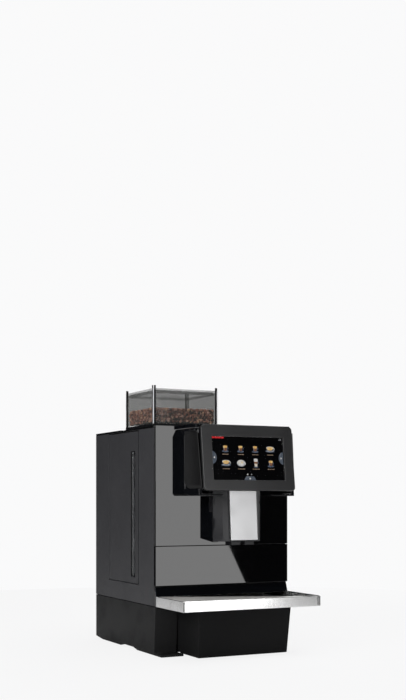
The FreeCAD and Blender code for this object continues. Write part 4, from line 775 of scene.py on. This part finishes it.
# %% Tray, hopper and inner pieces
INNER = [  # CAD node, edge radius, finish, name, slot
    ("tray_frame", 0.0007, tray_gloss, "tray_moulding", "tray_black"),
    ("tray_band", 0.0009, band_steel, "tray_steel_band", "steel_band"),
    ("drip_grate", 0.0004, grate_steel, "grate_plate", "grate_steel"),
    ("waste_tub", 0.0012, tub_satin, "waste_tub_moulding", "tub_black"),
    ("grounds_container", 0.0008, inner_black, "grounds_bin", "container_black"),
    ("hopper_plate", 0.0006, hopper_black, "hopper_foot", "hopper_trim"),
    ("hopper_body", 0.0004, hopper_smoke, "hopper_walls", "hopper_smoke"),
    ("hopper_lid", 0.0004, hopper_smoke, "hopper_cover_sheet", "hopper_smoke"),
    ("rubber_feet", 0.0006, foot_rubber, "soft_feet", "foot_rubber"),
    ("inner_frame", 0.0003, zinc_sheet, "zinc_chassis", "frame_zinc"),
    ("rear_screws", 0.0002, screw_oxide, "rear_screw_heads", "screw_steel"),
    ("door_carrier", 0.0006, inner_black, "door_inner_moulding", "container_black"),
    ("hinge_brackets", 0.0003, zinc_sheet, "hinge_plates", "frame_zinc"),
    ("powder_chute", 0.0006, white_plastic, "powder_shaft", "tank_white"),
    ("container_rails", 0.0003, zinc_sheet, "bin_rails", "frame_zinc"),
    ("tank_socket", 0.0005, white_plastic, "tank_valve_seat", "tank_white"),
    ("water_tank", 0.0006, tank_clear, "tank_shell", "tank_clear"),
    ("tank_lid", 0.0006, white_plastic, "tank_cover", "tank_white"),
    ("grinder_motor", 0.0005, rear_paint, "grinder_motor_can", "rear_black"),
    ("grinder_housing", 0.0006, cast_aluminium, "grinder_casting", "cast_housing"),
    ("lower_burr", 0.0002, burr_steel, "burr_turning", "burr_steel"),
    ("upper_burr", 0.0002, burr_steel, "burr_fixed", "burr_steel"),
    ("grind_adjuster", 0.0004, cast_aluminium, "grind_setting_ring", "cast_housing"),
    ("bean_throat", 0.0004, white_plastic, "bean_funnel", "tank_white"),
    ("grounds_chute", 0.0004, inner_black, "grounds_slide", "container_black"),
    ("brewer_frame", 0.0004, zinc_sheet, "brewer_cage", "frame_zinc"),
    ("brew_chamber", 0.0004, chamber_brass, "brew_cylinder", "brass_chamber"),
    ("brew_piston", 0.0003, chamber_brass, "brew_plunger", "brass_chamber"),
    ("brew_spindle", 0.0002, machined_steel, "brew_screw", "machined_steel"),
    ("brew_motor", 0.0005, rear_paint, "brew_motor_can", "rear_black"),
    ("boiler", 0.0005, boiler_steel, "boiler_vessel", "boiler_steel"),
    ("water_pump", 0.0004, machined_steel, "pump_unit", "machined_steel"),
    ("water_pipes", 0.0, pipe_silicone, "silicone_pipes", "pipe_white"),
    ("control_board", 0.0002, board_green, "control_circuit", "board_green"),
    ("power_supply", 0.0004, zinc_sheet, "power_unit", "frame_zinc"),
    ("power_inlet", 0.0004, inlet_plastic, "mains_inlet", "inlet_black"),
    ("rocker_switch", 0.0004, inlet_plastic, "mains_rocker", "inlet_black"),
]
inner = {node: dressed(node, width, finish, name, 2, slot)
         for node, width, finish, name, slot in INNER}
for node in ("hopper_body", "hopper_lid", "water_tank"):
    inner[node].visible_shadow = False
print("tray, hopper and inner pieces:", len(inner))

# %% [markdown]
# ### Scooped sides of the head
# Both cheeks of the head are hollowed like a spoon, and a fine-matt panel lines each hollow. Its
# rear part faces the side light and its front part turns away, which adds to the painted shade in
# its colour. A grid of columns follows the hollow; the lower rear corner is rounded by starting
# each column higher the nearer it is to the rear edge.

# %% Scoop linings
SCOOP_COLUMNS = 22
SCOOP_ROWS = 14
SCOOP_CORNER = 17 * MM
SCOOP_HOLLOW = 1.4 * MM
SCOOP_SHEET = 0.8 * MM
SCOOP_PROUD = 1.2 * MM
PAST_BEZEL = 0.6 * MM
BEZEL_DEPTH = 6.6 * MM
SCREEN_LEAN = math.radians(7.02)

scoop_low, scoop_high = span("scoop_panels")
bezel_low, bezel_high = span("display_bezel")


def bezel_back(z):
    """How far back the leaning display's bezel reaches at a height."""
    return bezel_low.y + BEZEL_DEPTH + (z - bezel_low.z) * math.tan(SCREEN_LEAN)


def scoop_lining(side):
    """One lining; side is -1 for the left and 1 for the right."""
    shape = bmesh.new()
    rows = []
    rear_x, rear_y = scoop_high.x, scoop_high.y
    front_x = bezel_high.x + PAST_BEZEL
    length = rear_y - bezel_back(scoop_low.z)
    for column in range(SCOOP_COLUMNS + 1):
        along = column / SCOOP_COLUMNS
        from_rear = along * length
        lift = 0.0
        if from_rear < SCOOP_CORNER:
            lift = SCOOP_CORNER - math.sqrt(SCOOP_CORNER ** 2 - (SCOOP_CORNER - from_rear) ** 2)
        rows.append([])
        for row in range(SCOOP_ROWS + 1):
            up = row / SCOOP_ROWS
            z = scoop_low.z + lift + up * (scoop_high.z - scoop_low.z - lift)
            y = rear_y + along * (bezel_back(z) - rear_y)
            flat_x = rear_x + (rear_y - y) / length * (front_x - rear_x)
            hollow = SCOOP_HOLLOW * 4.0 * along * (1.0 - along)
            rows[-1].append(shape.verts.new((side * (flat_x + SCOOP_PROUD - hollow), y, z)))
    for first, second in zip(rows, rows[1:]):
        for low_a, high_a, low_b, high_b in zip(first, first[1:], second, second[1:]):
            shape.faces.new((low_a, low_b, high_b, high_a))
    name = "scoop_lining_left" if side < 0 else "scoop_lining_right"
    piece = made(name, shape, "door", scoop_matt, slot="scoop_gray")
    sheet = piece.modifiers.new("sheet", "SOLIDIFY")
    sheet.thickness = SCOOP_SHEET
    sheet.offset = 0.0
    return piece


linings = [scoop_lining(side) for side in (-1, 1)]
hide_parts("scoop_panels")
print("scoop linings:", len(linings))

# %% [markdown]
# ### Corner posts of the hopper
# Each corner of the hopper is held by two slim black strips with a near-white bar between them.
# The bar is a painted highlight: its white stands for the light that the rounded clear corner
# catches, so it shows white between the two dark lines. The strips rise a little above the lid,
# and the front left one has three small pegs.

# %% Corner posts
POST_STRIP = 3.6 * MM
CORNER_BAR_WIDTH = 2.4 * MM
POST_SKIN = 1.4 * MM
BAR_INSET = 0.2 * MM
BAR_GAP = 0.1 * MM
BAR_BELOW_LID = 0.5 * MM
PEG_LEVELS = (3.5 * MM, 9.0 * MM, 14.0 * MM)
PEG_RADIUS = 1.5 * MM
PEG_TIP = 1.2 * MM
PEG_LENGTH = 1.0 * MM
PEG_OUT = 0.1 * MM

post_low, post_high = span("hopper_posts")
lid_high = span("hopper_lid")[1].z
# Painted highlight: a near-white, nearly opaque bar at each corner of the hopper.
corner_bar_painted_highlight = clear("hopper_corner_painted_highlight", (0.93, 0.93, 0.94), 0.96, 0.05, 0.1, dusty=0.0)


def block(shape, low, high):
    """Add a box between two corners to a bmesh."""
    low, high = Vector(low), Vector(high)
    grown = bmesh.ops.create_cube(shape, size=1.0)["verts"]
    bmesh.ops.scale(shape, vec=high - low, verts=grown)
    bmesh.ops.translate(shape, vec=(low + high) / 2.0, verts=grown)


def corner_point(side_x, side_y, run_x, run_y, z):
    """A point measured inwards from one upright corner of the hopper."""
    x = post_low.x + run_x if side_x < 0 else post_high.x - run_x
    y = post_low.y + run_y if side_y < 0 else post_high.y - run_y
    return Vector((x, y, z))


def spread_block(shape, first, second):
    """A box between two points in any order."""
    low = [min(a, b) for a, b in zip(first, second)]
    high = [max(a, b) for a, b in zip(first, second)]
    block(shape, low, high)


strips = bmesh.new()
bars = bmesh.new()
for side_x in (-1, 1):
    for side_y in (-1, 1):
        near_end = CORNER_BAR_WIDTH
        far_end = CORNER_BAR_WIDTH + POST_STRIP
        for run in (((0.0, near_end), (POST_SKIN, far_end)), ((near_end, 0.0), (far_end, POST_SKIN))):
            spread_block(strips, corner_point(side_x, side_y, *run[0], post_low.z),
                         corner_point(side_x, side_y, *run[1], post_high.z))
        bar_end = CORNER_BAR_WIDTH - BAR_GAP
        spread_block(bars, corner_point(side_x, side_y, BAR_INSET, BAR_INSET, post_low.z),
                     corner_point(side_x, side_y, bar_end, bar_end, lid_high - BAR_BELOW_LID))
for drop in PEG_LEVELS:
    place = corner_point(-1, -1, CORNER_BAR_WIDTH + POST_STRIP / 2.0, 0.0, post_high.z - drop)
    peg = bmesh.ops.create_cone(strips, cap_ends=True, segments=20, radius1=PEG_RADIUS, radius2=PEG_TIP,
                                depth=PEG_LENGTH)["verts"]
    bmesh.ops.rotate(strips, verts=peg, matrix=Matrix.Rotation(math.radians(90.0), 3, "X"))
    bmesh.ops.translate(strips, verts=peg, vec=place - Vector((0.0, PEG_OUT, 0.0)))
post_strips = made("hopper_corner_strips", strips, "cabinet", hopper_black, 0.35 * MM, 2, "hopper_trim")
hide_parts("hopper_posts")
corner_bars = made("hopper_corner_highlight_bars", bars, "cabinet", corner_bar_painted_highlight, 0.8 * MM, 3, "hopper_smoke")
print("corner strips and bars:", len(post_strips.data.polygons), len(corner_bars.data.polygons), "faces")

# %% [markdown]
# ### Coffee beans
# A roasted bean is half an egg: round on one side, flat with a furrow on the other. Five slightly
# different beans are shaped once, and copies are turned at random and laid against the walls and on
# the heap, where they can be seen. A dark core of painted shade hides the empty middle.

# %% One bean
BEAN_LENGTH = 7.4 * MM
BEAN_WIDTH = 5.2 * MM
BEAN_HEIGHT = 3.8 * MM
FLAT_SIDE = 0.42
FURROW_DEPTH = 0.16
FURROW_WIDTH = 0.1
BEAN_BEND = 0.015
BEAN_SHAPES = 5
BEAN_SEED = 71

chance = random.Random(BEAN_SEED)


def bean_points(stretch, plump):
    """Points and faces of one bean, centred on the origin, with its flat side down."""
    shape = bmesh.new()
    bmesh.ops.create_uvsphere(shape, u_segments=10, v_segments=7, radius=0.5)
    for vert in shape.verts:
        x, y, z = vert.co
        furrow = 0.0
        if z < 0.0:
            z *= FLAT_SIDE
            ends = min(1.0, abs(x) * 2.0) ** 4
            furrow = FURROW_DEPTH * math.exp(-((y / FURROW_WIDTH) ** 2)) * (1.0 - ends)
        bend = BEAN_BEND * math.cos(x * math.pi)
        vert.co = (x * BEAN_LENGTH * stretch, (y + bend) * BEAN_WIDTH * plump, (z + furrow) * BEAN_HEIGHT)
    shape.verts.ensure_lookup_table()
    points = [vert.co.copy() for vert in shape.verts]
    faces = [[vert.index for vert in face.verts] for face in shape.faces]
    shape.free()
    return points, faces


bean_kinds = [bean_points(chance.uniform(0.86, 1.1), chance.uniform(0.9, 1.08))
              for _ in range(BEAN_SHAPES)]
print("bean shapes:", len(bean_kinds), "faces each:", len(bean_kinds[0][1]))

# %% [markdown]
# The roast differs from bean to bean, so each bean stores one random number on its corners, and the
# finish turns that number into anything from nearly black to tan. The colours are also lighter than
# real roasted beans: painted light, standing in for brighter light on the heap. Grain mottles each
# bean darker.

# %% Bean finish
# Roast spread, lifted by painted light: these colours are lighter than the beans' own.
ROAST_AND_PAINTED_LIGHT_STEPS = [
    (0.0, (0.06, 0.022, 0.014)), (0.25, (0.23, 0.075, 0.045)), (0.5, (0.44, 0.16, 0.1)),
    (0.74, (0.68, 0.33, 0.23)), (0.9, (0.85, 0.5, 0.38)), (1.0, (0.9, 0.52, 0.3)),
]
MOTTLE = 0.3
MOTTLE_DARK = (0.05, 0.02, 0.012)

bean_roast, bean_tree, bean_shader = new_finish("roasted_coffee_beans")
roast_number = bean_tree.nodes.new("ShaderNodeAttribute")
roast_number.attribute_name = "roast"
roast_scale = bean_tree.nodes.new("ShaderNodeValToRGB")
ramp = roast_scale.color_ramp
for step, (place, colour) in enumerate(ROAST_AND_PAINTED_LIGHT_STEPS):
    mark = ramp.elements[step] if step < 2 else ramp.elements.new(place)
    mark.position = place
    mark.color = (*colour, 1.0)
bean_tree.links.new(roast_number.outputs["Fac"], roast_scale.inputs["Fac"])
bean_grain = placed(bean_tree, grain, Pebbles_per_metre=1500.0)
bean_marks = placed(bean_tree, marks, Clean=0.34, Marked=0.5, Marks_per_metre=160.0)
mottle_mask = math_node(bean_tree, "MULTIPLY", bean_grain.outputs["Height"], MOTTLE)
bean_mottle = mixed(bean_tree, mottle_mask, roast_scale.outputs["Color"], MOTTLE_DARK)
bean_tree.links.new(bean_mottle, bean_shader.inputs["Base Color"])
bean_tree.links.new(bean_marks.outputs["Roughness"], bean_shader.inputs["Roughness"])
bumped(bean_tree, bean_shader, bean_grain.outputs["Height"], 0.4, 0.00015)
print("bean finish:", bean_roast.name)

# %% [markdown]
# The hopper holds hundreds of beans, but only those against its walls and on top can be seen. They
# could be dropped by a physics simulation, which is slow. Here they are seated on a grid, and
# seeded chance turns, shifts and roasts each one, so every run gives the same heap.

# %% Seats for the beans
HEAP_WAVE = 2.2 * MM
WAVES_PER_METRE = 38.0
WAVE_SLICE = 3.1
WALL_STEP = 4.5 * MM
HEAP_STEP = 5.0 * MM
SEAT_INSET = BEAN_HEIGHT * 0.62

beans_low, beans_high = span("coffee_beans")


def heap_level(x, y):
    """Height of the wavy top of the heap at one place."""
    wave = noise.noise(Vector((x * WAVES_PER_METRE, y * WAVES_PER_METRE, WAVE_SLICE)))
    return beans_high.z - BEAN_HEIGHT * 0.5 - HEAP_WAVE * (0.7 - wave)


def even_steps(low, high, step):
    """Evenly spaced places between two ends."""
    count = max(1, round((high - low) / step))
    return [low + (index + 0.5) * (high - low) / count for index in range(count)]


def bean_seats():
    """Middle of each bean that can be seen, and the direction that its round side faces."""
    low = beans_low + Vector((SEAT_INSET, SEAT_INSET, SEAT_INSET * 0.8))
    high = beans_high - Vector((SEAT_INSET, SEAT_INSET, HEAP_WAVE))
    for x in even_steps(low.x, high.x, HEAP_STEP):
        for y in even_steps(low.y, high.y, HEAP_STEP):
            yield Vector((x, y, heap_level(x, y))), Vector((0.0, 0.0, 1.0))
    for z in even_steps(low.z, high.z, WALL_STEP):
        for x in even_steps(low.x, high.x, WALL_STEP):
            for wall, way in ((low.y, -1.0), (high.y, 1.0)):
                yield Vector((x, wall, min(z, heap_level(x, wall)))), Vector((0.0, way, 0.0))
        for y in even_steps(low.y, high.y, WALL_STEP):
            for wall, way in ((low.x, -1.0), (high.x, 1.0)):
                yield Vector((wall, y, min(z, heap_level(wall, y)))), Vector((way, 0.0, 0.0))


def clamped(point):
    """A point kept inside the CAD heap's box."""
    return Vector([min(max(v, low), high) for v, low, high in zip(point, beans_low, beans_high)])


seats = list(bean_seats())
print("places for beans:", len(seats))

# %% [markdown]
# All beans become one mesh, because hundreds of objects would slow everything down. Each bean's
# points are turned, moved to its seat and kept inside the heap's box, so none pokes through a wall.

# %% Heap of beans
SEAT_SHIFT = 1.2
SWAY = 0.9
ROLL = 0.6
ROAST_MIDDLE = 0.5
ROAST_SPREAD = 0.34

heap_points, heap_faces, heap_roasts = [], [], []
for seat, facing in seats:
    points, faces = chance.choice(bean_kinds)
    tilt = facing.to_track_quat("Z", "Y").to_matrix()
    spin = Matrix.Rotation(chance.uniform(0.0, math.tau), 3, "Z")
    sway = Matrix.Rotation(chance.uniform(-SWAY, SWAY), 3, "X")
    roll = Matrix.Rotation(chance.choice((0.0, math.pi)) + chance.uniform(-ROLL, ROLL), 3, "Y")
    shift = Vector([chance.uniform(-SEAT_SHIFT, SEAT_SHIFT) * MM for _ in range(3)])
    roast = min(1.0, max(0.0, chance.gauss(ROAST_MIDDLE, ROAST_SPREAD)))
    start = len(heap_points)
    for point in points:
        heap_points.append(clamped(seat + shift + tilt @ spin @ sway @ roll @ point))
    heap_faces.extend([[start + index for index in face] for face in faces])
    heap_roasts.extend([roast] * len(points))
heap_mesh = bpy.data.meshes.new("coffee_bean_heap")
heap_mesh.from_pydata(heap_points, [], heap_faces)
heap_mesh.attributes.new("roast", "FLOAT", "POINT").data.foreach_set("value", heap_roasts)
heap_mesh.materials.append(bean_roast)
heap_mesh.shade_smooth()
heap = bpy.data.objects.new("coffee_bean_heap", heap_mesh)
bpy.context.scene.collection.objects.link(heap)
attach(heap, "cabinet")
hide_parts("coffee_beans")
print("beans:", len(heap_roasts) // len(bean_kinds[0][0]), "faces:", len(heap_faces))

# %% [markdown]
# Between the beans one would see through to the far wall. A dark shell of painted shade just inside
# the outer layer closes the heap, with the same wavy top, so the gaps look deep.

# %% Painted shade core of the heap
CORE_INSET = 3.2 * MM
CORE_DROP = 1.0 * MM
CORE_FOOT = 0.5 * MM
CORE_GRID = 16

core = bmesh.new()
core_verts = []
for column in range(CORE_GRID + 1):
    core_verts.append([])
    for row in range(CORE_GRID + 1):
        x = beans_low.x + CORE_INSET + column / CORE_GRID * (beans_high.x - beans_low.x - 2 * CORE_INSET)
        y = beans_low.y + CORE_INSET + row / CORE_GRID * (beans_high.y - beans_low.y - 2 * CORE_INSET)
        core_verts[-1].append(core.verts.new((x, y, heap_level(x, y) - CORE_DROP)))
for first, second in zip(core_verts, core_verts[1:]):
    for low_a, high_a, low_b, high_b in zip(first, first[1:], second, second[1:]):
        core.faces.new((low_a, low_b, high_b, high_a))
rim = [edge for edge in core.edges if edge.is_boundary]
skirt = bmesh.ops.extrude_edge_only(core, edges=rim)["geom"]
for vert in [item for item in skirt if isinstance(item, bmesh.types.BMVert)]:
    vert.co.z = beans_low.z + CORE_FOOT
# Painted shade: a dark brown shell in place of the shaded beans deeper in the heap.
bean_core_painted_shade = moulded("bean_heap_shade", (0.02, 0.009, 0.006), (0.05, 0.022, 0.014), 0.8, 0.9,
                    pebbles=260.0, depth=0.0008, wear=0.0, dusty=0.0)
core_piece = made("coffee_heap_core", core, "cabinet", bean_core_painted_shade, slot="coffee")
print("core faces:", len(core_piece.data.polygons))

# %% [markdown]
# ### The drinks menu
# The screen is an LCD under glass, so its pictures glow. Each picture is drawn with thin glowing
# shapes that lie on the panel: a cup from a tapered outline, crema and milk as bands across it, a
# handle as part of a ring. No words are drawn; a short bar stands for each drink's name.

# %% The panel and its own coordinates
PANEL_FACE = 3.5 * MM
GLASS_FACE = 1.0 * MM
GLASS_SHEET = 1.2 * MM
GLASS_GAP = 0.3 * MM
LAYER = 0.1 * MM
BEZEL_SHEET = 6.0 * MM

panel_up = Vector((0.0, math.sin(SCREEN_LEAN), math.cos(SCREEN_LEAN)))
panel_out = Vector((0.0, -math.cos(SCREEN_LEAN), math.sin(SCREEN_LEAN)))
lower_edge = Vector((0.0, bezel_low.y, bezel_low.z + BEZEL_SHEET * math.sin(SCREEN_LEAN)))


def on_panel(across, up, depth):
    """A point of the leaning display: across and up along its face, depth behind the bezel's front."""
    return lower_edge + Vector((across, 0.0, 0.0)) + panel_up * up - panel_out * depth


lcd_black = moulded("lcd_black", (0.0008, 0.0008, 0.001), (0.0012, 0.0012, 0.0014), 0.12, 0.16,
                    wear=0.0, dusty=0.0)
dressed("lcd_panel", 0.0002, lcd_black, "lcd_sheet", slot="lcd")
pane_low, pane_high = span("touch_glass")
glass_low_up = (pane_low.z - lower_edge.z) / math.cos(SCREEN_LEAN) + GLASS_GAP
glass_high_up = (pane_high.z - lower_edge.z) / math.cos(SCREEN_LEAN) - GLASS_GAP
sheet_of_glass = bmesh.new()
corners = []
for across, up in ((pane_low.x, glass_low_up), (pane_high.x, glass_low_up),
                   (pane_high.x, glass_high_up), (pane_low.x, glass_high_up)):
    corners.append(sheet_of_glass.verts.new(on_panel(across, up, GLASS_FACE + GLASS_SHEET)))
glass_front = bmesh.ops.extrude_face_region(sheet_of_glass, geom=[sheet_of_glass.faces.new(corners)])
glass_moved = [item for item in glass_front["geom"] if isinstance(item, bmesh.types.BMVert)]
bmesh.ops.translate(sheet_of_glass, vec=panel_out * GLASS_SHEET, verts=glass_moved)
cover_glass = made("screen_cover_glass", sheet_of_glass, "door", screen_glass, 0.25 * MM, 2, "screen_glass")
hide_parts("touch_glass")
print("screen", round(pane_high.x - pane_low.x, 4), "by", round(glass_high_up - glass_low_up, 4))

# %% [markdown]
# A screen gives light instead of reflecting it, so each menu colour is emission over a black base.
# Soft noise lets the colour drift a little, as it does in a picture of a real drink.

# %% Glowing finishes
DRIFTS_PER_METRE = 240.0


def glowing(name, dim, bright, strength):
    """A lit picture area whose colour drifts a little, as a picture on a screen does."""
    finish, tree, shader = new_finish(name)
    place = tree.nodes.new("ShaderNodeTexCoord")
    drift = noise_node(tree, place.outputs["Object"], DRIFTS_PER_METRE, 2.0)
    colour = mixed(tree, ramp_between(tree, drift, 0.35, 0.65), dim, bright)
    tree.links.new(colour, shader.inputs["Emission Color"])
    shader.inputs["Emission Strength"].default_value = strength
    shader.inputs["Base Color"].default_value = (0.0, 0.0, 0.0, 1.0)
    shader.inputs["Roughness"].default_value = 0.4
    return finish


INKS = {
    "white": glowing("menu_white", (0.62, 0.62, 0.6), (0.95, 0.93, 0.9), 0.95),
    "crema": glowing("menu_crema", (0.85, 0.45, 0.1), (1.0, 0.72, 0.28), 0.95),
    "coffee": glowing("menu_coffee", (0.16, 0.055, 0.018), (0.34, 0.13, 0.045), 0.9),
    "milk": glowing("menu_milk", (0.8, 0.7, 0.55), (0.95, 0.9, 0.8), 0.9),
    "glass": glowing("menu_glass", (0.05, 0.07, 0.11), (0.13, 0.17, 0.25), 0.8),
    "caption": glowing("menu_caption", (0.3, 0.2, 0.13), (0.5, 0.36, 0.25), 0.8),
    "red": glowing("menu_red", (0.75, 0.01, 0.015), (0.95, 0.02, 0.03), 0.9),
    "tab": glowing("menu_tab", (0.07, 0.09, 0.12), (0.1, 0.125, 0.165), 0.9),
    "mark": glowing("menu_mark", (0.35, 0.36, 0.38), (0.5, 0.51, 0.54), 0.9),
}
INK_ORDER = list(INKS)
print("menu colours:", len(INKS))

# %% [markdown]
# One image would be quicker, but outlines stay sharp at any zoom and need no file beside the script.
# Each outline is a flat face, and the next one lies a tenth of a millimetre further out, so that a
# picture is built up like paper cut-outs. Their sizes are in millimetres.

# %% Drawing on the panel
menu = bmesh.new()


def drawn(points, ink, layer):
    """One filled outline on the panel; points are (across, up) in millimetres."""
    verts = [menu.verts.new(on_panel(x * MM, up * MM, PANEL_FACE - layer * LAYER)) for x, up in points]
    face = menu.faces.new(verts)
    face.material_index = INK_ORDER.index(ink)


def oval(x, up, half_wide, half_tall, start=0.0, stop=360.0, steps=20):
    """Points of an oval or a part of one."""
    count = steps + (stop - start < 360)
    turns = [math.radians(start + (stop - start) * step / steps) for step in range(count)]
    return [(x + half_wide * math.cos(turn), up + half_tall * math.sin(turn)) for turn in turns]


def band(x, low, high, half_low, half_high):
    """A tapered band across a cup."""
    return [(x - half_low, low), (x + half_low, low), (x + half_high, high), (x - half_high, high)]


def handle(x, up, radius, ink, layer, side=1):
    """Half a ring beside a cup."""
    outer = oval(x, up, side * radius, radius, -80.0, 80.0, 10)
    inner = oval(x, up, side * radius * 0.6, radius * 0.6, 80.0, -80.0, 10)
    drawn(outer + inner, ink, layer)


def caption(x, up, half):
    """A plain bar with a few gaps in place of a drink's name."""
    parts = [(-1.0, -0.55), (-0.45, 0.15), (0.25, 1.0)]
    for start, stop in parts:
        drawn(band(x + half * (start + stop) / 2.0, up - 0.65, up + 0.65,
                   half * (stop - start) / 2.0, half * (stop - start) / 2.0), "caption", 1)


print("drawing helpers ready")

# %% [markdown]
# Each drink is a few outlines laid on each other: saucer, cup, coffee, crema and handle. The function
# draws its picture round a middle that it is given, so one picture can stand in several places.

# %% Pictures of the drinks


def small_glass(x, up):
    """Espresso glass on a dark saucer, with crema on top."""
    drawn(oval(x, up - 6.2, 7.2, 2.0), "glass", 0)
    drawn(band(x, up - 6.0, up + 4.6, 3.1, 4.8), "glass", 1)
    drawn(band(x, up - 5.2, up + 0.6, 2.7, 3.8), "coffee", 2)
    drawn(band(x, up + 0.4, up + 3.4, 3.8, 4.3), "crema", 3)
    drawn(oval(x, up + 3.5, 4.4, 1.3), "crema", 4)
    drawn(band(x - 2.7, up - 4.6, up + 2.8, 0.25, 0.3), "mark", 5)
    handle(x + 4.2, up - 0.4, 2.6, "glass", 2)


def wide_cup(x, up):
    """Wide white cup and saucer, full of coffee."""
    drawn(oval(x, up - 4.6, 10.2, 2.4), "glass", 0)
    drawn(oval(x, up - 4.3, 8.0, 1.5), "mark", 1)
    drawn(oval(x, up + 2.2, 8.0, 6.8, 180.0, 360.0, 16), "glass", 2)
    drawn(oval(x, up + 2.2, 7.4, 5.2, 180.0, 360.0, 16), "crema", 3)
    drawn(oval(x, up + 2.3, 8.0, 2.3), "white", 4)
    drawn(oval(x, up + 2.1, 6.9, 1.7), "crema", 5)
    handle(x + 7.2, up - 0.2, 2.9, "white", 2)


def round_cup(x, up):
    """White cappuccino cup seen from above, with its handle to the right."""
    drawn(oval(x, up - 1.0, 9.4, 6.6), "mark", 0)
    drawn(oval(x - 0.4, up - 0.2, 7.9, 5.6), "white", 1)
    drawn(oval(x - 0.8, up + 1.0, 6.0, 3.7), "milk", 2)
    drawn(oval(x - 1.0, up + 1.0, 3.3, 1.8), "white", 3)
    drawn(oval(x + 1.4, up + 0.2, 1.2, 0.9), "crema", 4)
    handle(x + 6.8, up - 1.6, 2.9, "white", 2)


def tall_glass(x, up):
    """Latte glass in layers: milk below, coffee, then foam."""
    drawn(oval(x, up - 8.0, 5.0, 1.5), "glass", 0)
    drawn(band(x, up - 8.0, up + 8.4, 2.9, 4.5), "glass", 1)
    drawn(band(x, up - 7.2, up - 1.6, 2.6, 3.3), "milk", 2)
    drawn(band(x, up - 1.6, up + 2.4, 3.3, 3.8), "coffee", 2)
    drawn(band(x, up + 2.2, up + 6.6, 3.8, 4.2), "white", 3)
    drawn(oval(x, up + 6.8, 4.3, 1.5), "white", 4)
    handle(x + 3.7, up + 0.4, 2.6, "glass", 2)


print("drinks drawn so far:", len(menu.faces))

# %% [markdown]
# Four drinks stand side by side in each of two rows. A red bar in four parts is at the top left,
# three rising bars are at the top right, a tab with an arrow is at each side, and a tab with a dot
# is at the foot. Places are in millimetres from the machine's middle and the bezel's lower edge.

# %% The menu
COLUMNS = (-49.2, -16.0, 16.2, 49.4)
TOP_ROW, LOW_ROW = 82.6, 54.6
TOP_CAPTION, LOW_CAPTION = 70.6, 42.4
SCREEN_EDGE = 78.0
SCREEN_HEAD, SCREEN_FOOT = 105.0, 20.9
BARS_FOOT = SCREEN_HEAD - 5.2
ARROW_UP = 64.2
ARROW_HALF = 2.4
DOTS_UP = 32.0
FOOT_TAB = 1.8

top_drinks = (small_glass, small_glass, small_glass, wide_cup)
low_drinks = (wide_cup, round_cup, tall_glass, small_glass)
for across, top_drink, low_drink in zip(COLUMNS, top_drinks, low_drinks):
    top_drink(across, TOP_ROW)
    low_drink(across, LOW_ROW)
    caption(across, TOP_CAPTION, 6.6)
    caption(across, LOW_CAPTION, 7.6)
for part in range(4):
    drawn(band(-SCREEN_EDGE + 4.6 + part * 6.4, SCREEN_HEAD - 3.8, SCREEN_HEAD - 0.6, 2.9, 2.9), "red", 1)
for part, tall in enumerate((1.4, 2.2, 3.0)):
    drawn(band(SCREEN_EDGE - 7.5 + part * 2.2, BARS_FOOT, BARS_FOOT + tall, 0.7, 0.7), "mark", 1)
for side in (-1, 1):
    drawn(oval(side * SCREEN_EDGE, ARROW_UP, -side * 9.6, 12.4, -90.0, 90.0, 24), "tab", 1)
    arrow = side * (SCREEN_EDGE - 4.2)
    tail = arrow - side * 1.4
    drawn([(arrow + side * 1.8, ARROW_UP), (tail, ARROW_UP + ARROW_HALF), (tail, ARROW_UP - ARROW_HALF)],
          "white", 2)
drawn(oval(-3.4, DOTS_UP, 1.5, 1.5), "white", 1)
drawn(oval(5.3, DOTS_UP, 1.3, 1.3), "mark", 1)
drawn(band(FOOT_TAB, SCREEN_FOOT, SCREEN_FOOT + 7.4, 13.2, 8.4), "tab", 1)
drawn(oval(FOOT_TAB, SCREEN_FOOT + 3.0, 1.8, 1.8), "white", 2)
menu_piece = made("drinks_menu", menu, "door", list(INKS.values()), slot="lcd")
menu_sheet = menu_piece.modifiers.new("lit_layer", "SOLIDIFY")
menu_sheet.thickness = LAYER * 0.6
menu_sheet.offset = 0.0
print("menu shapes:", len(menu_piece.data.polygons))

# %% [markdown]
# ### Painted shade lines on the steel band
# The tray's band is one strip folded round the corners. At each front corner a thin line of painted
# shade marks the fold, and the strip's two ends meet behind a narrow clip at the right, marked by one
# more dark line. A line is a dark insert that lies a few hundredths of a millimetre proud, so it
# can't flicker with the steel.

# %% Band corner lines of painted shade
FOLD_LINE = 1.8 * MM
FOLD_FROM_CORNER = 1.4 * MM
FOLD_DEPTH = 0.3 * MM
FOLD_SHORT = 0.8 * MM
PROUD = 0.04 * MM
CLIP_SPACING = 4.4 * MM

band_low, band_high = span("tray_band")
# Painted shade: dark inserts on the steel at the corner folds; the clip gets the same dark line.
fold_painted_shade = moulded("fold_shadow_line", (0.05, 0.05, 0.05), (0.09, 0.09, 0.09), 0.5, 0.6,
                    specular=0.1, wear=0.0)
folds = bmesh.new()
line_low, line_high = band_low.z + FOLD_SHORT, band_high.z - FOLD_SHORT
right_fold = band_high.x - FOLD_FROM_CORNER
for x in (band_low.x + FOLD_FROM_CORNER, right_fold - CLIP_SPACING, right_fold):
    block(folds, (x - FOLD_LINE / 2, band_low.y - PROUD, line_low),
          (x + FOLD_LINE / 2, band_low.y + FOLD_DEPTH, line_high))
fold_lines = made("band_fold_painted_shade", folds, "drip_tray", fold_painted_shade, slot="steel_band")
print("fold line faces:", len(fold_lines.data.polygons))

# %% [markdown]
# ## What gloss may mirror
# The gloss door would mirror everything in front of it: the head, the spout and the tray. In a
# studio that is masked out, so that the door shows only the softbox and its clean slanted edge.
# Here it is one switch: pieces of these bodies don't show in glossy reflections. The door's own
# panels keep theirs.

# %% Clean reflections
MASKED_BODIES = ("door", "spout", "drip_tray", "grate")
masked = 0
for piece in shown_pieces():
    body = body_of(piece)
    if body and body[0] in MASKED_BODIES and piece.name != "door_gloss_pane":
        piece.visible_glossy = False
        masked += 1
print("masked pieces:", masked)
